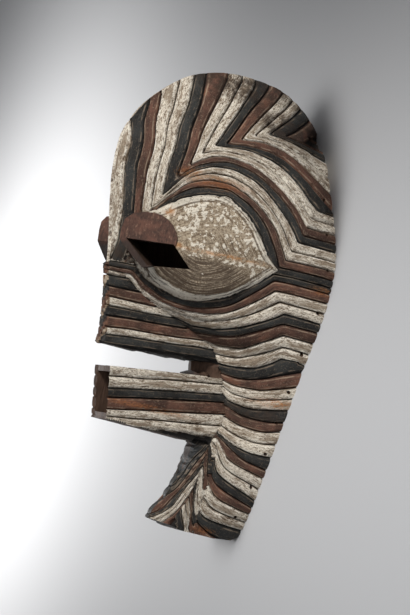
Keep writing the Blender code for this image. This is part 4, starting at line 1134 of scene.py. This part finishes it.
def eye_paint():
    """Flaked white over grey-brown wood, whiter in a border, and darker low down where soiling and painted
    shade lie on the lower half.
    """
    s = Shader("eye_paint")
    edge, dirt_and_shade, ochre = s.corner("edge"), s.corner("dirt_and_shade"), s.corner("ochre")
    cloud = s.noise(26, (1, 1, 1), 4, 0.6)
    flake = s.noise(170, (1, 1, 1), 4, 0.6)
    grit = s.noise(420, (1, 1, 1), 4, 0.75)
    rings = s.streaks(5.0, 30, 6, 0.74)
    border = s.times(s.step(edge, 0.84, 0.92), s.step(rings, 0.36, 0.54))
    # Painted shade with soiling: the eye's lower half is darkened and less white where the spots lie.
    soiled_and_shaded = s.times(s.step(dirt_and_shade, 0.1, 0.8), s.step(border, 1.0, 0.2))
    ground = s.mix(s.step(grit, 0.36, 0.62), tint(112, 96, 78), tint(182, 167, 145))
    ground = s.coat(ground, (104, 87, 70), 0.85, (rings, 0.52, 0.40))
    ground = s.coat(ground, (78, 65, 54), 0.9, soiled_and_shaded, (rings, 0.62, 0.48))
    cover = s.math("ADD", s.times(cloud, 0.35), s.times(flake, 0.65))
    cover = s.math("ADD", cover, s.math("SUBTRACT", s.times(border, 0.14), s.times(soiled_and_shaded, 0.13)))
    colour = s.coat(ground, (218, 209, 193), 1.0, (cover, 0.52, 0.54), (grit, 0.34, 0.46))
    colour = s.coat(colour, (84, 70, 56), 0.8, (edge, 0.835, 0.85), (edge, 0.885, 0.865),
                    (cloud, 0.38, 0.50))
    low_border = s.times(s.step(edge, 0.885, 0.91), s.step(edge, 0.985, 0.96), s.step(dirt_and_shade, 0.1, 0.5))
    colour = s.coat(colour, (236, 229, 214), 0.9, low_border, (rings, 0.40, 0.50))
    colour = s.coat(colour, (90, 74, 59), 0.8, (rings, 0.42, 0.36))
    colour = s.coat(colour, (92, 75, 58), 0.6, (grit, 0.60, 0.70))
    colour = s.coat(colour, (170, 122, 78), 0.8, ochre, (flake, 0.38, 0.56))
    colour = s.coat(colour, DARK_WOOD, 1.0, (edge, 0.985, 1.0))
    height = s.math("ADD", s.times(cover, 2.0), s.math("ADD", rings, s.times(grit, 0.4)))
    return s.finish(colour, 0.82, height, 0.0018)


def visor_paint():
    """Rubbed red-brown paint, with painted shade darkening it low down under the slot."""
    s = Shader("visor_paint")
    parts = s.node("ShaderNodeSeparateXYZ")
    s.feed(parts.inputs[0], s.place)
    cloud = s.noise(60, (1, 1, 1), 5, 0.65)
    fine = s.noise(300, (1.3, 0.5, 1.3), 5, 0.7)
    colour = s.mix(s.step(cloud, 0.34, 0.68), tint(62, 45, 38), tint(94, 64, 53))
    colour = s.coat(colour, (124, 96, 80), 0.7, (fine, 0.54, 0.66))
    colour = s.coat(colour, (40, 31, 27), 0.7, (fine, 0.44, 0.36))
    # Painted shade: the visor is darkened below a set height, under the slot.
    colour = s.coat(colour, (44, 35, 30), 0.85, (parts.outputs["Y"], 0.043, 0.034))
    return s.finish(colour, 0.65, fine, 0.001)


def bare_wood(name, dark, light, rough):
    s = Shader(name)
    cloud = s.noise(45, (1, 0.4, 1), 5, 0.6)
    fibre = s.noise(260, (1.4, 0.12, 1.4), 6, 0.65)
    both = s.math("ADD", s.times(cloud, 0.55), s.times(fibre, 0.45))
    colour = s.mix(s.step(both, 0.38, 0.62), tint(*dark), tint(*light))
    return s.finish(colour, rough, fibre, 0.0012)


def nose_front_paint():
    """Slanting strips on the nose's front, set out by height and distance from the middle, with the white
    strips darkened as painted shade.
    """
    slant, strip_drop = 1.6, 0.0365
    s = Shader("nose_front_paint")
    parts = s.node("ShaderNodeSeparateXYZ")
    s.feed(parts.inputs[0], s.place)
    out = s.math("ABSOLUTE", parts.outputs["X"])
    height = s.math("SUBTRACT", s.times(out, slant), parts.outputs["Y"])
    height = s.math("ADD", height, s.times(s.noise(60), 0.006))
    share = s.math("FRACT", s.times(s.math("ADD", height, 0.5), 1 / strip_drop))
    streak = s.noise(200, (1, 0.5, 1), 5, 0.6)
    # Painted shade: the front's white strips are darker than the white paint on the sides, and worn to bare
    # wood in streaks.
    white = s.mix(s.step(streak, 0.42, 0.58), tint(*BARE_WOOD), tint(158, 143, 125))
    black = s.mix(s.step(streak, 0.40, 0.60), tint(30, 28, 27), tint(58, 56, 54))
    red = s.mix(s.step(streak, 0.40, 0.60), tint(58, 42, 35), tint(98, 70, 56))
    colour = s.mix(s.step(share, 0.20, 0.24), white, black)
    colour = s.mix(s.step(share, 0.60, 0.64), colour, red)
    return s.finish(colour, 0.75, streak, 0.0012)


def make_paints():
    """The paints in the order of their numbers."""
    return [white_paint(), strip_paint("black_paint", 40, (30, 29, 28), (52, 53, 52), 0.35, BLACK_LAYERS, 0.6),
            strip_paint("red_paint", 36, (70, 50, 42), (108, 76, 63), 0.34, RED_LAYERS, 0.72),
            eye_paint(), visor_paint(),
            bare_wood("dark_wood", DARK_WOOD, (84, 64, 52), 0.7),
            bare_wood("rim_wood", (84, 62, 44), (150, 118, 86), 0.8), nose_front_paint()]


def make_floor():
    size = 12.0
    mesh = bpy.data.meshes.new("floor")
    corners = [(-size, -size, 0), (size, -size, 0), (size, size, 0), (-size, size, 0)]
    mesh.from_pydata(corners, [], [(0, 1, 2, 3)])
    floor = bpy.data.objects.new("floor", mesh)
    bpy.context.scene.collection.objects.link(floor)
    mat = bpy.data.materials.new("studio_floor")
    mat.use_nodes = True
    shader = mat.node_tree.nodes["Principled BSDF"]
    shader.inputs["Base Color"].default_value = (0.6, 0.6, 0.605, 1.0)
    shader.inputs["Roughness"].default_value = 0.9
    shader.inputs["Specular IOR Level"].default_value = 0.1
    mesh.materials.append(mat)
    return floor


def add_light(name, place, aim, power, colour, lit, **values):
    """An area light that lights one object only."""
    light = bpy.data.lights.new(name, "AREA")
    light.energy = power
    light.color = colour
    for key, value in values.items():
        setattr(light, key, value)
    obj = bpy.data.objects.new(name, light)
    obj.location = place
    obj.rotation_mode = "QUATERNION"
    obj.rotation_quaternion = (Vector(aim) - Vector(place)).to_track_quat("-Z", "Y")
    bpy.context.scene.collection.objects.link(obj)
    group = bpy.data.collections.new(name + "_lights")
    group.objects.link(lit)
    obj.light_linking.receiver_collection = group
    obj.visible_camera = False


def make_lights(mask, floor):
    """Key and fills for the mask, and two low softboxes that light the middle of the floor."""
    middle = (0.0, 0.0, 0.1)
    warm, cool, plain = (1.0, 0.98, 0.95), (0.97, 0.98, 1.0), (1.0, 1.0, 1.0)
    add_light("key", (1.15, 1.3, 1.85), middle, 60, warm, mask, shape="DISK", size=0.6)
    add_light("fill", (2.2, -0.3, 1.5), middle, 11, cool, mask, shape="DISK", size=1.4)
    add_light("far_side_fill", (-2.2, -0.6, 0.9), middle, 38, (0.98, 0.99, 1.0), mask,
              shape="DISK", size=1.2)
    add_light("floor_far", (-1.15, -0.09, 1.0), (-1.15, -0.09, 0.0), 6.0, plain, floor,
              shape="DISK", size=0.8, spread=1.5)
    add_light("floor_near", (-0.1, -0.1, 0.9), (-0.1, -0.1, 0.0), 3.6, plain, floor,
              shape="RECTANGLE", size=2.0, size_y=0.8, spread=0.95)
    world = bpy.data.worlds.new("studio")
    world.use_nodes = True
    world.node_tree.nodes["Background"].inputs["Color"].default_value = (0.94, 0.96, 1.0, 1.0)
    world.node_tree.nodes["Background"].inputs["Strength"].default_value = 0.18
    bpy.context.scene.world = world
    bpy.context.scene.view_settings.view_transform = "Standard"


def make_camera():
    """The photograph's view: 22 degrees in front of the mask's left side, 2.4 m away."""
    image_height = 615.0
    focal_pixels = 2016.8
    distance = 2.4
    looks_at = Vector((0.0357, -0.0122, 0.1072))
    right = Vector((0.3746, 0.2211, -0.9004))
    up = Vector((0.0, 0.9711, 0.2385))
    back = Vector((0.9272, -0.0893, 0.3638))
    camera = bpy.data.cameras.new("camera")
    camera.sensor_width = 36.0
    camera.lens = 36.0 * focal_pixels / image_height
    obj = bpy.data.objects.new("camera", camera)
    turn = Matrix((right, up, back)).transposed().to_4x4()
    obj.matrix_world = Matrix.Translation(looks_at + back * distance) @ turn
    bpy.context.scene.collection.objects.link(obj)
    bpy.context.scene.camera = obj


def numbers(box):
    return [[round(c, 5) for c in corner] for corner in box]


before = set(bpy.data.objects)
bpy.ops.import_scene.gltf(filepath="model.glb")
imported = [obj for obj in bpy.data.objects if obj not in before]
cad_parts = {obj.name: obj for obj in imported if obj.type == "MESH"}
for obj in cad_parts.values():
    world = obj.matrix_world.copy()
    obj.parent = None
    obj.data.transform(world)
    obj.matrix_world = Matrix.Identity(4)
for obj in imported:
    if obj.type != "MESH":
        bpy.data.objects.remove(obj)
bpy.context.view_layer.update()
PAINTS = make_paints()
mask = make_mask()
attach(mask, "root")
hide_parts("mask")
floor = make_floor()
make_lights(mask, floor)
make_camera()
